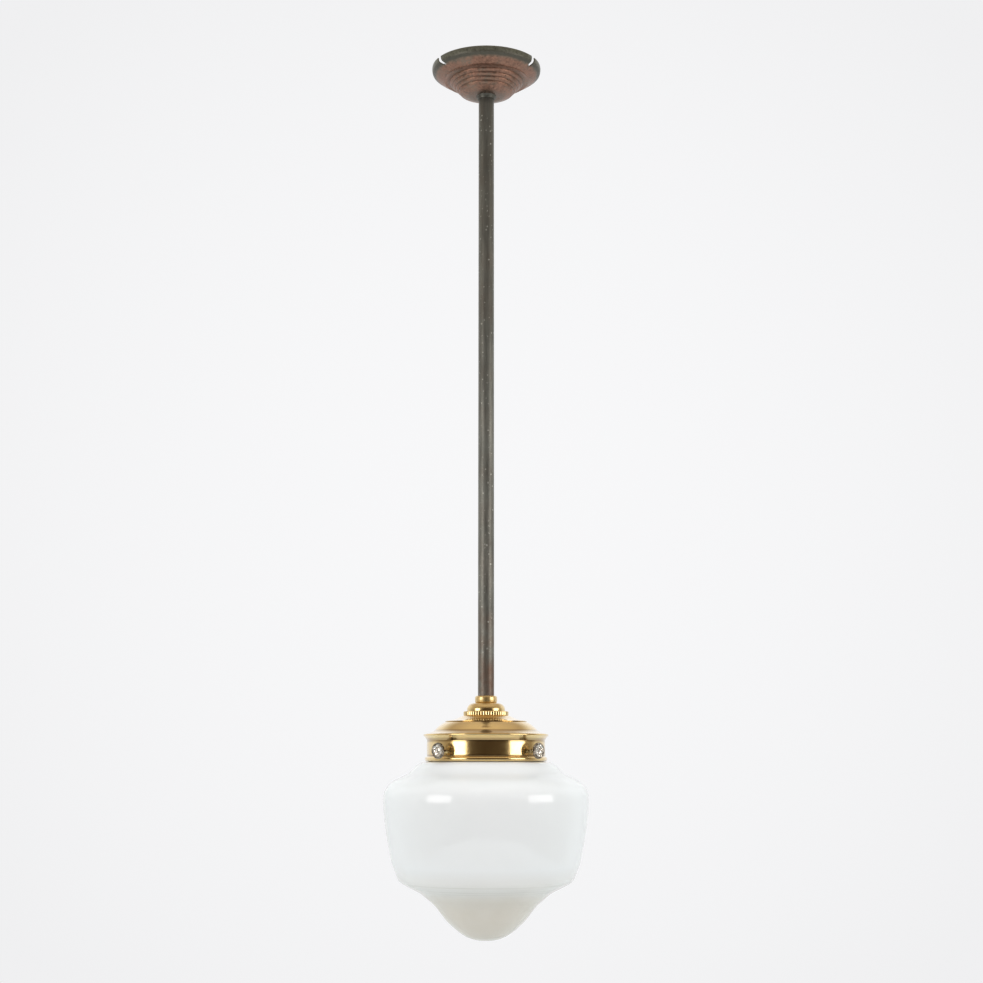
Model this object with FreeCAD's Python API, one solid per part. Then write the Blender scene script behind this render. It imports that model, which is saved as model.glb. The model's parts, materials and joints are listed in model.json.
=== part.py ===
import FreeCAD
import Part
import math
import os

from FreeCAD import Vector

# Schoolhouse pendant light: copper rose, long rod, brass gallery and opal glass shade.
# Millimetres. The origin is the middle of the ceiling plane, +Z is up and -Y is the front.

# Clearances
SLIDE_FIT = 0.06        # radial, where a piece slides or turns in another
SEAT_FIT = 0.05         # radial, where fixed pieces nest
PART_GAP = 0.3          # between pieces that come apart

# Ceiling plate and stirrup
PLATE_R = 36.0
PLATE_T = 3.0
CABLE_HOLE_R = 8.0
FIXING_HOLE_R = 2.5
FIXING_CIRCLE_R = 27.0
FIXING_COUNT = 3
STRIP_T = 2.2
STIRRUP_W = 16.0
STIRRUP_HALF_SPAN = 16.0
STIRRUP_DROP = 15.2
STIRRUP_FOOT = 12.0
RIVET_R = 2.0
RIVET_HEAD_R = 3.4
RIVET_HEAD_T = 1.4

# Rod and its nuts
ROD_R = 6.35
ROD_WALL = 1.2
ROD_LENGTH = 514.2
ROD_END = 1.5           # rod that shows above the upper nut
ROD_NUT_FLATS = 19.0
ROD_NUT_T = 4.0

# Terminal block
BLOCK_SETBACK = 15.0    # from the rod's axis to the block's near face
BLOCK_DEPTH = 11.0
BLOCK_H = 8.0
POLE_PITCH = 7.0
POLE_COUNT = 3
POLE_DROP = 3.6         # from the plate to the poles' axes
SLEEVE_R = 2.3
SLEEVE_BORE_R = 1.35
CLAMP_SCREW_R = 1.3
CLAMP_SCREW_PITCH = 5.0

# Flex
SHEATH_R = 3.2
SHEATH_INSET = 2.0      # sheath ends this far down inside the rod
SHEATH_TAIL = 1.0       # sheath that shows below the locknut
CORE_R = 1.0
CORE_BEND_R = 2.6
CORE_OFFSET = 2.1       # of a core from the flex's axis

# Ceiling rose
ROSE_R = 45.0
ROSE_WALL = 1.0
LIP_H = 5.3
LIP_DRAFT = 0.5         # how far the lip leans in at its foot
LIP_BOW = 0.35
SHOULDER_BOW = 0.4
BOWL_R = 35.0           # edge between the bowl and the cove
BOWL_DROP = 11.2
BOWL_EDGE = 0.7         # height of that edge
BOWL_COVE_BOW = -0.5
RIDGE_TOP_R = 30.5
RIDGE_TOP_DROP = 12.4
RIDGE_FOOT_R = 20.2
RIDGE_FOOT_DROP = 23.0
RIDGE_COUNT = 4
RIDGE_SWELL = 0.75      # how far each ridge stands proud
ROSE_FOOT_BOW = 0.5
NECK_DROP = 25.4        # foot of the rose, where the collar takes over
SLOT_W = 5.0
SLOT_DROP = 8.4
SLOTS = [(-59.3, 26.0), (59.3, -7.0), (180.0, 0.0)]   # azimuth at the rim, lean
COLLAR_WALL = 2.9
COLLAR_H = 2.8
COLLAR_TAPER = 2.0
COLLAR_SPIGOT_WALL = 1.6
COLLAR_SPIGOT_H = 2.4
GRUB_R = 1.25
GRUB_DROP = 1.4         # from the rose's foot to the screw's axis

# Ferrule, nipple and locknut at the foot of the rod
FERRULE_H = 5.8
FERRULE_SOCKET = 4.0
FERRULE_LIP = 0.8
FERRULE_SWELL = 1.7
NIPPLE_R = 5.0
NIPPLE_BORE_R = 3.5
LOCKNUT_FLATS = 14.0
LOCKNUT_T = 2.2

# Bayonet lampholder
LAMP_CAP_R = 11.0
LAMP_PLAY = 0.15
SHELL_WALL = 0.65
BODY_WALL = 0.7
CAP_WALL = 1.0
CAP_TOP_R = 8.8
CAP_BRIM_R = 15.0
CAP_DOME_H = 5.8
CAP_BOW = 1.65
CAP_SKIRT_H = 4.0
RING_WALL = 4.0
RING_H = 3.5
RING_RIBS = 48
RIB_DEPTH = 0.35
BODY_TOP_INSET = 4.2    # body's thread inside the cap's skirt
CONTACT_BLOCK_DROP = 5.6    # from the gallery's top to the contact block
CONTACT_BLOCK_H = 7.0
PLUNGER_R = 1.5
PLUNGER_OFFSET = 4.2
PLUNGER_L = 5.6
PLUNGER_TRAVEL = 2.5
SPRING_SEAT = 0.8       # porcelain left above the plunger springs
SPRING_WALL = 0.5
SPRING_SOLID = 1.2      # length of a spring pressed flat
POST_R = 1.9
POST_OFFSET = 7.2
POST_H = 4.5
SHELL_L = 31.0
PIN_R = 1.0
PIN_L = 1.8             # how far a lamp pin stands out of the cap
PIN_DROP = 9.0          # from the lamp's contacts to its pins
PIN_PLAY = 0.1
BAYONET_TURN = 20.0

# Lamp
CONTACT_R = 1.7
CONTACT_H = 0.8
INSULATOR_H = 3.0
LAMP_CAP_L = 25.0
LAMP_CAP_WALL = 0.5
BULB_R = 30.0
BULB_L = 82.0           # glass below the cap
BULB_WALL = 1.0
STEM_R = 3.5
STEM_H = 34.0
STEM_FLARE_H = 12.0
STEM_FLARE_BOW = -1.8
FILAMENT_HALF_SPAN = 9.0
FILAMENT_R = 0.4
FILAMENT_DROP = 22.0
FILAMENT_LEG = 4.0

# Gallery
GALLERY_WALL = 1.0
COVE_UNDERCUT = 0.4     # of the sharp edge over the dome
DOME_FOOT_INSET = Vector(-0.6, 0, -1.2)     # in walls, from the outer corner to the inner one
UNDERCUT_INSET = Vector(-0.8, 0, -0.9)
BOSS_TOP_R = 18.8
COVE_R = 32.3
COVE_DROP = 4.1
COVE_BOW = -0.65
COVE_EDGE = 0.55
DOME_R = 40.4
DOME_DROP = 11.3
DOME_BOW = 0.6
FLARE_BOW = -0.55
RIM_R = 49.0
RIM_DROP = 14.9
RIM_T = 1.35
RIM_BOW = 0.25
BAND_R = 46.2
BAND_TOP_DROP = 19.0
BAND_FILLET_BOW = -0.2
BEAD_DROP = 30.75
BEAD_GROOVE = 0.25
FOOT_R = 46.8
FOOT_BOW = 1.3
GALLERY_H = 35.05

# Gallery screws
SCREW_COUNT = 4
SCREW_AZIMUTH = -42.1   # of the first screw, from the front towards +X
SCREW_DROP = 27.1
SHANK_R = 2.0
HEAD_R = 6.2
HEAD_T = 2.5
HEAD_STANDOFF = 6.6     # from the band to the back of the head
HEAD_RIBS = 36
HEAD_RIB_DEPTH = 0.25
HEAD_BEVEL = 0.5
SPIGOT_R = 1.2
SPIGOT_L = 1.4
BUSH_R = 3.6
BUSH_L = 3.2

# Glass shade
GLASS_WALL = 2.8
GLASS_NECK_R = 39.5
GLASS_LIP = 1.7         # how far the lip stands out of the neck
GLASS_LIP_H = 4.5
NECK_FOOT_RISE = 5.85    # of the end of the straight neck above the gallery's foot
GLASS_COLLAR_R = 56.7
GLASS_COLLAR_DROP = 5.75
SHADE_R = 79.8
SHADE_R_DROP = 30.25     # from the gallery's foot to the widest ring
HIP_R = 67.2
HIP_DROP = 90.45
TIP_R = 46.7
TIP_TOP_DROP = 103.15
SHADE_DROP = 135.75
# How the shade's outline curves between those sizes, in shares across and down
NECK_CURVE = [(0.0, 0.0), (0.05, 0.24), (0.18, 0.42), (0.49, 0.6), (0.86, 0.79)]
SHOULDER_CURVE = [(0.0, 0.0), (0.14, 0.13), (0.385, 0.25), (0.645, 0.37), (0.835, 0.51), (0.957, 0.69)]
BODY_CURVE = [(0.0, 0.0), (0.065, 0.2), (0.205, 0.41), (0.378, 0.61), (0.61, 0.81), (0.795, 0.91)]
HIP_CURVE = [(0.0, 0.0), (0.26, 0.3), (0.53, 0.52), (0.79, 0.74)]
TIP_CURVE = [(0.0, 0.0), (0.14, 0.17), (0.245, 0.35), (0.355, 0.54), (0.495, 0.726), (0.67, 0.9), (1.0, 1.0)]
GLASS_BANDS = ["neck", "collar", "shoulder", "body", "tip"]
# The same for the bulb, from the cap to its widest ring
BULB_CURVE = [(0.0, 0.0), (0.14, 0.21), (0.5, 0.48), (0.86, 0.74)]

STRAIGHT = 0.001        # a wire's corner that bends less than this is left out
ORIGIN = Vector(0, 0, 0)
X_AXIS = Vector(1, 0, 0)
Y_AXIS = Vector(0, 1, 0)
Z_AXIS = Vector(0, 0, 1)

# Heights worked out from the sizes above, from the ceiling down
plate_foot = -PLATE_T
stirrup_foot = plate_foot - STIRRUP_DROP
stirrup_floor = stirrup_foot + STRIP_T
rod_top = stirrup_floor + ROD_NUT_T + ROD_END
rod_foot = rod_top - ROD_LENGTH
ferrule_top = rod_foot + FERRULE_SOCKET
cap_top = ferrule_top - FERRULE_H
cap_dome_foot = cap_top - CAP_DOME_H
gallery_top = cap_dome_foot - CAP_SKIRT_H
gallery_foot = gallery_top - GALLERY_H
screw_height = gallery_top - SCREW_DROP
locknut_foot = cap_top - CAP_WALL - LOCKNUT_T
contact_block_top = gallery_top - CONTACT_BLOCK_DROP
contact_block_foot = contact_block_top - CONTACT_BLOCK_H
spring_top = contact_block_top - SPRING_SEAT
plunger_top = spring_top - PLUNGER_TRAVEL - SPRING_SOLID
plunger_foot = plunger_top - PLUNGER_L
lamp_top = plunger_foot - PIN_PLAY
pin_height = lamp_top - PIN_DROP
slot_roof = pin_height + PLUNGER_TRAVEL + PIN_R + PIN_PLAY
lamp_cap_top = lamp_top - CONTACT_H
lamp_cap_foot = lamp_cap_top - LAMP_CAP_L
bulb_foot = lamp_cap_foot - BULB_L

# Radii that nest, from the lamp outwards
shell_bore_r = LAMP_CAP_R + LAMP_PLAY
shell_r = shell_bore_r + SHELL_WALL
body_bore_r = shell_r + SEAT_FIT
body_r = body_bore_r + BODY_WALL
skirt_bore_r = body_r + SEAT_FIT
cap_r = skirt_bore_r + CAP_WALL
ring_bore_r = cap_r + SEAT_FIT
ring_r = ring_bore_r + RING_WALL
rod_bore_r = ROD_R - ROD_WALL
collar_bore_r = ROD_R + SLIDE_FIT
collar_r = collar_bore_r + COLLAR_WALL
collar_spigot_r = collar_bore_r + COLLAR_SPIGOT_WALL
rose_hole_r = collar_spigot_r + SEAT_FIT
band_bore_r = BAND_R - GALLERY_WALL
screw_azimuths = [SCREW_AZIMUTH + 360.0 / SCREW_COUNT * i for i in range(SCREW_COUNT)]


def at(r, z):
    """A point of a turned piece's outline."""
    return Vector(r, 0, z)


def spline(points, first, last):
    """A smooth curve through points, with set directions at its ends."""
    curve = Part.BSplineCurve()
    curve.interpolate(Points=points, InitialTangent=first, FinalTangent=last, Scale=False)
    return curve


def inside(curve, points, wall):
    """Points one wall thickness inside a curve that runs down the outside of a turned piece."""
    inner = []
    for point in points:
        run = curve.tangent(curve.parameter(point))[0]
        inner.append(point + Vector(run.z, 0, -run.x).normalize() * wall)
    return inner


def outline(start, *moves):
    """Edges from a start. A point is a straight run, a point with a bow an arc, a curve itself.

    A bow is how far an arc's middle stands off its chord, outwards on the way down.
    """
    edges = []
    here = start
    for move in moves:
        if isinstance(move, Part.BSplineCurve):
            edges.append(move.toShape())
            here = move.EndPoint
        elif isinstance(move, tuple):
            end, bow = move
            along = end - here
            side = Vector(-along.z, 0, along.x).normalize()
            edges.append(Part.Arc(here, (here + end) * 0.5 + side * bow, end).toShape())
            here = end
        else:
            edges.append(Part.LineSegment(here, move).toShape())
            here = move
    edges.append(Part.LineSegment(here, start).toShape())
    return edges


def between(start, end, shares):
    """Points between two places of an outline, at shares across and down."""
    across = end.x - start.x
    down = end.z - start.z
    return [at(start.x + across * a, start.z + down * d) for a, d in shares]


def blown(points, wall):
    """Outer and inner curves of a blown glass wall, from an upright neck down to the axis."""
    outer = spline(points, Vector(0, 0, -1), Vector(-1, 0, 0))
    inner = inside(outer, points, wall)
    inner[-1] = points[-1] + Vector(0, 0, wall)
    return outer, spline(inner[::-1], Vector(1, 0, 0), Vector(0, 0, 1))


def turned(start, *moves):
    """A solid turned about the Z axis from an outline."""
    face = Part.Face(Part.Wire(outline(start, *moves)))
    return face.revolve(ORIGIN, Z_AXIS, 360)


def disc(radius, foot, top, x=0.0, y=0.0):
    """An upright round bar between two heights."""
    return Part.makeCylinder(radius, top - foot, Vector(x, y, foot), Z_AXIS)


def ring(radius, bore, foot, top):
    """A plain upright tube between two heights."""
    return disc(radius, foot, top).cut(disc(bore, foot, top))


def prism(points, foot, top):
    """An upright prism on a closed plan."""
    corners = [Vector(x, y, foot) for x, y in points]
    face = Part.Face(Part.makePolygon(corners + corners[:1]))
    return face.extrude(Vector(0, 0, top - foot))


def hex_nut(flats, bore, foot, top):
    """A hexagonal nut."""
    corner_r = flats / math.sqrt(3)
    plan = [(corner_r * math.cos(math.pi / 3 * i), corner_r * math.sin(math.pi / 3 * i)) for i in range(6)]
    return prism(plan, foot, top).cut(disc(bore, foot, top))


def ribbed(radius, depth, count, foot, top):
    """A knurled disc: its plan zigzags between crests and roots."""
    plan = []
    for i in range(2 * count):
        r = radius - depth * (i % 2)
        plan.append((r * math.cos(math.pi * i / count), r * math.sin(math.pi * i / count)))
    return prism(plan, foot, top)


def radial(shape, reach, height, azimuth):
    """A shape built up the Z axis, laid outwards from a reach, at an azimuth from the front."""
    laid = shape.copy()
    laid.rotate(ORIGIN, X_AXIS, 90)
    laid.translate(Vector(0, -reach, height))
    laid.rotate(ORIGIN, Z_AXIS, azimuth)
    return laid


def wire_tube(points, bend_r, radius):
    """A round wire along straight runs joined by tangent arcs."""
    edges = []
    here = points[0]
    for before, corner, after in zip(points, points[1:], points[2:]):
        inward = (before - corner).normalize()
        outward = (after - corner).normalize()
        half = inward.getAngle(outward) / 2
        if math.cos(half) < STRAIGHT:
            continue
        reach = bend_r / math.tan(half)
        start = corner + inward * reach
        end = corner + outward * reach
        middle = corner + (inward + outward).normalize() * (bend_r / math.sin(half) - bend_r)
        edges.append(Part.LineSegment(here, start).toShape())
        edges.append(Part.Arc(start, middle, end).toShape())
        here = end
    edges.append(Part.LineSegment(here, points[-1]).toShape())
    section = Part.Wire(Part.makeCircle(radius, points[0], points[1] - points[0]))
    return Part.Wire(edges).makePipeShell([section], True, False)


def ceiling_plate():
    plate = ring(PLATE_R, CABLE_HOLE_R, plate_foot, 0)
    for i in range(FIXING_COUNT):
        hole = disc(FIXING_HOLE_R, plate_foot, 0, 0, -FIXING_CIRCLE_R)
        hole.rotate(ORIGIN, Z_AXIS, 360.0 / FIXING_COUNT * i)
        plate = plate.cut(hole)
    return plate.cut(rivet_holes())


def rivet_places():
    x = STIRRUP_HALF_SPAN + STIRRUP_FOOT / 2
    return [-x, x]


def rivet_holes():
    foot = plate_foot - STRIP_T
    return Part.makeCompound([disc(RIVET_R + SEAT_FIT, foot, 0, x) for x in rivet_places()])


def stirrup():
    """A strip bent to a stirrup: two feet, two legs and a floor that the rod hangs from."""
    leg = STIRRUP_HALF_SPAN
    toe = leg + STIRRUP_FOOT
    step = plate_foot - STRIP_T
    right = [(leg - STRIP_T, stirrup_floor), (leg - STRIP_T, plate_foot), (toe, plate_foot),
             (toe, step), (leg, step), (leg, stirrup_foot)]
    left = [(-x, z) for x, z in right[::-1]]
    loop = [Vector(x, -STIRRUP_W / 2, z) for x, z in right + left]
    strip = Part.Face(Part.makePolygon(loop + loop[:1])).extrude(Vector(0, STIRRUP_W, 0))
    strip = strip.cut(disc(ROD_R + SEAT_FIT, stirrup_foot, stirrup_floor))
    return strip.cut(rivet_holes())


def stirrup_rivets():
    """Two rivets, each a shank through foot and plate with a head below."""
    seat = plate_foot - STRIP_T
    rivets = []
    for x in rivet_places():
        head = disc(RIVET_HEAD_R, seat - RIVET_HEAD_T, seat, x)
        rivets.append(head.fuse(disc(RIVET_R, seat, 0, x)).removeSplitter())
    return Part.makeCompound(rivets)


def pole_places():
    return [POLE_PITCH * (i - (POLE_COUNT - 1) / 2.0) for i in range(POLE_COUNT)]


def across(radius, start, length, x):
    """A bar along +Y at the height of the terminal poles."""
    return Part.makeCylinder(radius, length, Vector(x, start, plate_foot - POLE_DROP), Y_AXIS)


def clamp_screw_places():
    """Two clamping screws to each pole, before and behind its middle."""
    middle = BLOCK_SETBACK + BLOCK_DEPTH / 2
    return [(x, middle + side * CLAMP_SCREW_PITCH / 2) for x in pole_places() for side in (-1, 1)]


def terminal_block():
    width = POLE_PITCH * POLE_COUNT
    corner = Vector(-width / 2, BLOCK_SETBACK, plate_foot - BLOCK_H)
    block = Part.makeBox(width, BLOCK_DEPTH, BLOCK_H, corner)
    for x in pole_places():
        block = block.cut(across(SLEEVE_R + SEAT_FIT, BLOCK_SETBACK, BLOCK_DEPTH, x))
    for x, y in clamp_screw_places():
        block = block.cut(disc(CLAMP_SCREW_R + SEAT_FIT, plate_foot - BLOCK_H, plate_foot - POLE_DROP, x, y))
    return block


def terminal_sleeves():
    sleeves = []
    for x in pole_places():
        sleeve = across(SLEEVE_R, BLOCK_SETBACK, BLOCK_DEPTH, x)
        sleeves.append(sleeve.cut(across(SLEEVE_BORE_R, BLOCK_SETBACK, BLOCK_DEPTH, x)))
    screws = [disc(CLAMP_SCREW_R + SEAT_FIT, plate_foot - BLOCK_H, plate_foot - POLE_DROP, x, y)
              for x, y in clamp_screw_places()]
    return Part.makeCompound([sleeve.cut(Part.makeCompound(screws)) for sleeve in sleeves])


def terminal_screws():
    """Clamping screws that reach from the block's underside to the wires."""
    top = plate_foot - POLE_DROP - CORE_R - SEAT_FIT
    return Part.makeCompound(
        [disc(CLAMP_SCREW_R, plate_foot - BLOCK_H, top, x, y) for x, y in clamp_screw_places()])


def sheath_ends():
    return rod_top - SHEATH_INSET, locknut_foot - SHEATH_TAIL


def flex_sheath():
    top, foot = sheath_ends()
    return disc(SHEATH_R, foot, top)


def core_top(pole):
    """A core from the sheath up out of the rod and across into its terminal sleeve."""
    start = CORE_OFFSET * (pole - (POLE_COUNT - 1) / 2.0)
    end = pole_places()[pole]
    height = plate_foot - POLE_DROP
    far = BLOCK_SETBACK + BLOCK_DEPTH / 2 + CLAMP_SCREW_PITCH / 2
    points = [
        Vector(start, 0, sheath_ends()[0]),
        Vector(start, 0, height),
        Vector(end, BLOCK_SETBACK - CORE_BEND_R, height),
        Vector(end, far, height),
    ]
    return wire_tube(points, CORE_BEND_R, CORE_R)


def post_places():
    """Terminal posts on the contact block: left, right and behind."""
    return [(-POST_OFFSET, 0), (POST_OFFSET, 0), (0, POST_OFFSET)]


def core_foot(post):
    """A core from the sheath's lower end down to the top of its terminal post."""
    x, y = post_places()[post]
    start = Vector(x, y, 0) * (CORE_OFFSET / POST_OFFSET)
    top = sheath_ends()[1]
    foot = contact_block_top + POST_H
    drop = (top - foot) / 4
    points = [
        start + Z_AXIS * top,
        start + Z_AXIS * (top - drop),
        Vector(x, y, foot + drop),
        Vector(x, y, foot),
    ]
    return wire_tube(points, drop, CORE_R)


def rod():
    return ring(ROD_R, rod_bore_r, rod_foot, rod_top)


def ceiling_rose():
    """A spun bowl: upright lip, round shoulder, cove, ridged cone and shallow foot."""
    rim = -PART_GAP
    lip_foot = at(ROSE_R - LIP_DRAFT, -LIP_H)
    bowl_edge = at(BOWL_R, -BOWL_DROP)
    cove_top = at(BOWL_R, -BOWL_DROP - BOWL_EDGE)
    ridge_top = at(RIDGE_TOP_R, -RIDGE_TOP_DROP)
    ridge_foot = at(RIDGE_FOOT_R, -RIDGE_FOOT_DROP)
    neck = at(rose_hole_r, -NECK_DROP)
    ridges = [(ridge_top + (ridge_foot - ridge_top) * ((i + 1.0) / RIDGE_COUNT), RIDGE_SWELL)
              for i in range(RIDGE_COUNT)]
    up = Vector(0, 0, ROSE_WALL)
    into = Vector(-ROSE_WALL, 0, 0)
    shell = turned(
        at(ROSE_R, rim), (lip_foot, LIP_BOW), (bowl_edge, SHOULDER_BOW), cove_top,
        (ridge_top, BOWL_COVE_BOW), *ridges, (neck, ROSE_FOOT_BOW), neck + up,
        (ridge_foot + up + into, -ROSE_FOOT_BOW), ridge_top + up + into,
        (bowl_edge + up + into, -BOWL_COVE_BOW), (lip_foot + up + into, -SHOULDER_BOW),
        (at(ROSE_R - ROSE_WALL, rim), -LIP_BOW))
    for azimuth, lean in SLOTS:
        slot = Part.makeBox(SLOT_W, ROSE_R - BOWL_R, 2 * SLOT_DROP, Vector(-SLOT_W / 2, 0, -SLOT_DROP))
        slot.rotate(ORIGIN, Y_AXIS, lean)
        slot.translate(Vector(0, -ROSE_R - PART_GAP, rim))
        slot.rotate(ORIGIN, Z_AXIS, azimuth)
        shell = shell.cut(slot)
    return shell


def grub_height():
    return -NECK_DROP - GRUB_DROP


def rose_collar():
    """A tapered ring under the rose, with a spigot up through the rose's hole."""
    foot = -NECK_DROP - COLLAR_H
    collar = turned(
        at(collar_bore_r, foot), at(collar_r - COLLAR_TAPER, foot), at(collar_r, -NECK_DROP),
        at(collar_spigot_r, -NECK_DROP), at(collar_spigot_r, -NECK_DROP + COLLAR_SPIGOT_H),
        at(collar_bore_r, -NECK_DROP + COLLAR_SPIGOT_H))
    hole = Part.makeCylinder(GRUB_R + SEAT_FIT, COLLAR_WALL + ROD_R)
    return collar.cut(radial(hole, ROD_R - COLLAR_WALL, grub_height(), 180))


def rose_grub_screw():
    grub = Part.makeCylinder(GRUB_R, COLLAR_WALL - COLLAR_TAPER / 2 - PART_GAP)
    return radial(grub, collar_bore_r, grub_height(), 180)


def rod_ferrule():
    """A round bead with a socket for the rod and a smaller hole for the nipple."""
    neck_r = ROD_R + FERRULE_LIP
    socket_r = ROD_R + SEAT_FIT
    hole_r = NIPPLE_R + SEAT_FIT
    return turned(
        at(socket_r, ferrule_top), at(neck_r, ferrule_top), (at(neck_r, cap_top), FERRULE_SWELL),
        at(hole_r, cap_top), at(hole_r, rod_foot), at(socket_r, rod_foot))


def entry_nipple():
    return ring(NIPPLE_R, NIPPLE_BORE_R, locknut_foot - SEAT_FIT, rod_foot)


def cap_locknut():
    return hex_nut(LOCKNUT_FLATS, NIPPLE_R + SEAT_FIT, locknut_foot, locknut_foot + LOCKNUT_T)


def lampholder_cap():
    """A small dome with a brim, over a skirt that takes the lampholder's body."""
    hole_r = NIPPLE_R + SEAT_FIT
    ceiling = cap_top - CAP_WALL
    brim_foot = gallery_top + RING_H + SEAT_FIT
    return turned(
        at(hole_r, cap_top), at(CAP_TOP_R, cap_top), (at(CAP_BRIM_R, cap_dome_foot), CAP_BOW),
        at(CAP_BRIM_R, brim_foot), at(cap_r, brim_foot),
        at(cap_r, gallery_top), at(skirt_bore_r, gallery_top), at(skirt_bore_r, cap_dome_foot),
        (at(CAP_TOP_R - CAP_WALL / 2, ceiling), -CAP_BOW), at(hole_r, ceiling))


def shade_ring(top):
    """A knurled ring that clamps the gallery."""
    return ribbed(ring_r, RIB_DEPTH, RING_RIBS, top - RING_H, top)


def upper_shade_ring():
    top = gallery_top + RING_H
    return shade_ring(top).cut(disc(ring_bore_r, gallery_top, top))


def lower_shade_ring():
    top = gallery_top - GALLERY_WALL
    return shade_ring(top).cut(disc(body_r + SEAT_FIT, top - RING_H, top))


def lampholder_body():
    return ring(body_r, body_bore_r, slot_roof + PART_GAP, gallery_top + BODY_TOP_INSET)


def bayonet_shell():
    """A tube with two hooked slots that hold the lamp's pins."""
    foot = contact_block_top - SHELL_L
    shell = ring(shell_r, shell_bore_r, foot, contact_block_top)
    width = 2 * (PIN_R + PIN_PLAY)
    rest = pin_height - width / 2
    reach = shell_r + PIN_L
    steps = 5
    for side in (0, 180):
        notch = Part.makeBox(reach, width, slot_roof - rest, Vector(0, -width / 2, rest))
        entry = Part.makeBox(reach, width, slot_roof - foot, Vector(0, -width / 2, foot))
        entry.rotate(ORIGIN, Z_AXIS, BAYONET_TURN)
        slot = notch.fuse(entry)
        for i in range(1, steps):
            run = Part.makeBox(reach, width, width, Vector(0, -width / 2, slot_roof - width))
            run.rotate(ORIGIN, Z_AXIS, BAYONET_TURN * i / steps)
            slot = slot.fuse(run)
        slot.rotate(ORIGIN, Z_AXIS, side)
        shell = shell.cut(slot)
    return shell


def contact_block():
    """A porcelain disc with two blind holes for the sprung plungers."""
    block = disc(shell_bore_r - SEAT_FIT, contact_block_foot, contact_block_top)
    for x in (-PLUNGER_OFFSET, PLUNGER_OFFSET):
        block = block.cut(disc(PLUNGER_R + SLIDE_FIT, contact_block_foot, spring_top, x))
    return block


def contact_plungers():
    return Part.makeCompound(
        [disc(PLUNGER_R, plunger_foot, plunger_top, x) for x in (-PLUNGER_OFFSET, PLUNGER_OFFSET)])


def contact_springs():
    """Springs behind the plungers, each as the tube that its coils fill."""
    springs = []
    for x in (-PLUNGER_OFFSET, PLUNGER_OFFSET):
        outer = disc(PLUNGER_R - SEAT_FIT, plunger_top + SEAT_FIT, spring_top - SEAT_FIT, x)
        springs.append(outer.cut(disc(PLUNGER_R - SPRING_WALL, plunger_top, spring_top, x)))
    return Part.makeCompound(springs)


def holder_terminals():
    top = contact_block_top + POST_H
    return Part.makeCompound([disc(POST_R, contact_block_top, top, x, y) for x, y in post_places()])


def gallery():
    """A spun carrier: flat top, cove, sharp edge, dome, flared rim, band and beaded foot."""
    hole_r = body_r + SEAT_FIT
    top = gallery_top
    wall = GALLERY_WALL
    cove_edge = at(COVE_R, top - COVE_DROP)
    under = at(COVE_R - COVE_UNDERCUT, top - COVE_DROP - COVE_EDGE)
    dome_foot = at(DOME_R, top - DOME_DROP)
    rim_top = at(RIM_R - RIM_BOW, top - RIM_DROP + RIM_T / 2)
    rim_foot = at(RIM_R - RIM_BOW, top - RIM_DROP - RIM_T / 2)
    band_top = at(BAND_R, top - BAND_TOP_DROP)
    groove = at(BAND_R - BEAD_GROOVE, top - BEAD_DROP - BEAD_GROOVE)
    bead_top = at(BAND_R, top - BEAD_DROP - 2 * BEAD_GROOVE)
    foot = at(FOOT_R, gallery_foot)
    shell = turned(
        at(hole_r, top), at(BOSS_TOP_R, top), (cove_edge, COVE_BOW), under,
        (dome_foot, DOME_BOW), (rim_top, FLARE_BOW), (rim_foot, RIM_BOW), (band_top, BAND_FILLET_BOW),
        at(BAND_R, top - BEAD_DROP), groove, bead_top, (foot, FOOT_BOW), at(band_bore_r, gallery_foot),
        at(band_bore_r, rim_foot.z), (dome_foot + DOME_FOOT_INSET * wall, -FLARE_BOW),
        (under + UNDERCUT_INSET * wall, -DOME_BOW),
        (at(BOSS_TOP_R - wall / 2, top - wall), -COVE_BOW), at(hole_r, top - wall))
    for azimuth in screw_azimuths:
        hole = Part.makeCylinder(SHANK_R + SLIDE_FIT, 4 * wall)
        shell = shell.cut(radial(hole, BAND_R - 2 * wall, screw_height, azimuth))
    return shell


def screw_bushes():
    """Threaded bushes fixed inside the band, one for each gallery screw."""
    bore = disc(band_bore_r - SEAT_FIT / 2, gallery_foot, gallery_top)
    bushes = []
    for azimuth in screw_azimuths:
        start = band_bore_r - BUSH_L
        bush = radial(Part.makeCylinder(BUSH_R, 2 * BUSH_L), start, screw_height, azimuth).common(bore)
        hole = radial(Part.makeCylinder(SHANK_R + SLIDE_FIT, 2 * BUSH_L), start, screw_height, azimuth)
        bushes.append(bush.cut(hole))
    return Part.makeCompound(bushes)


def screw_shank(azimuth):
    """A plain shank from the glass neck to the head, with a spigot that the head turns on."""
    tip = GLASS_NECK_R + PART_GAP
    back = BAND_R + HEAD_STANDOFF
    shank = Part.makeCylinder(SHANK_R, back - tip)
    spigot = Part.makeCylinder(SPIGOT_R, SPIGOT_L, Vector(0, 0, back - tip), Z_AXIS)
    return radial(shank.fuse(spigot), tip, screw_height, azimuth)


def screw_head(azimuth):
    """A round head with a fine knurled edge, a bevelled face and a blind hole for the spigot."""
    disc_shape = ribbed(HEAD_R, HEAD_RIB_DEPTH, HEAD_RIBS, 0, HEAD_T)
    bevel = turned(
        at(0, 0), at(HEAD_R, 0), at(HEAD_R, HEAD_T - HEAD_BEVEL), at(HEAD_R - HEAD_BEVEL, HEAD_T),
        at(0, HEAD_T))
    head = disc_shape.common(bevel).cut(disc(SPIGOT_R + SLIDE_FIT, 0, SPIGOT_L + SEAT_FIT))
    return radial(head, BAND_R + HEAD_STANDOFF + SEAT_FIT, screw_height, azimuth)


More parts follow.
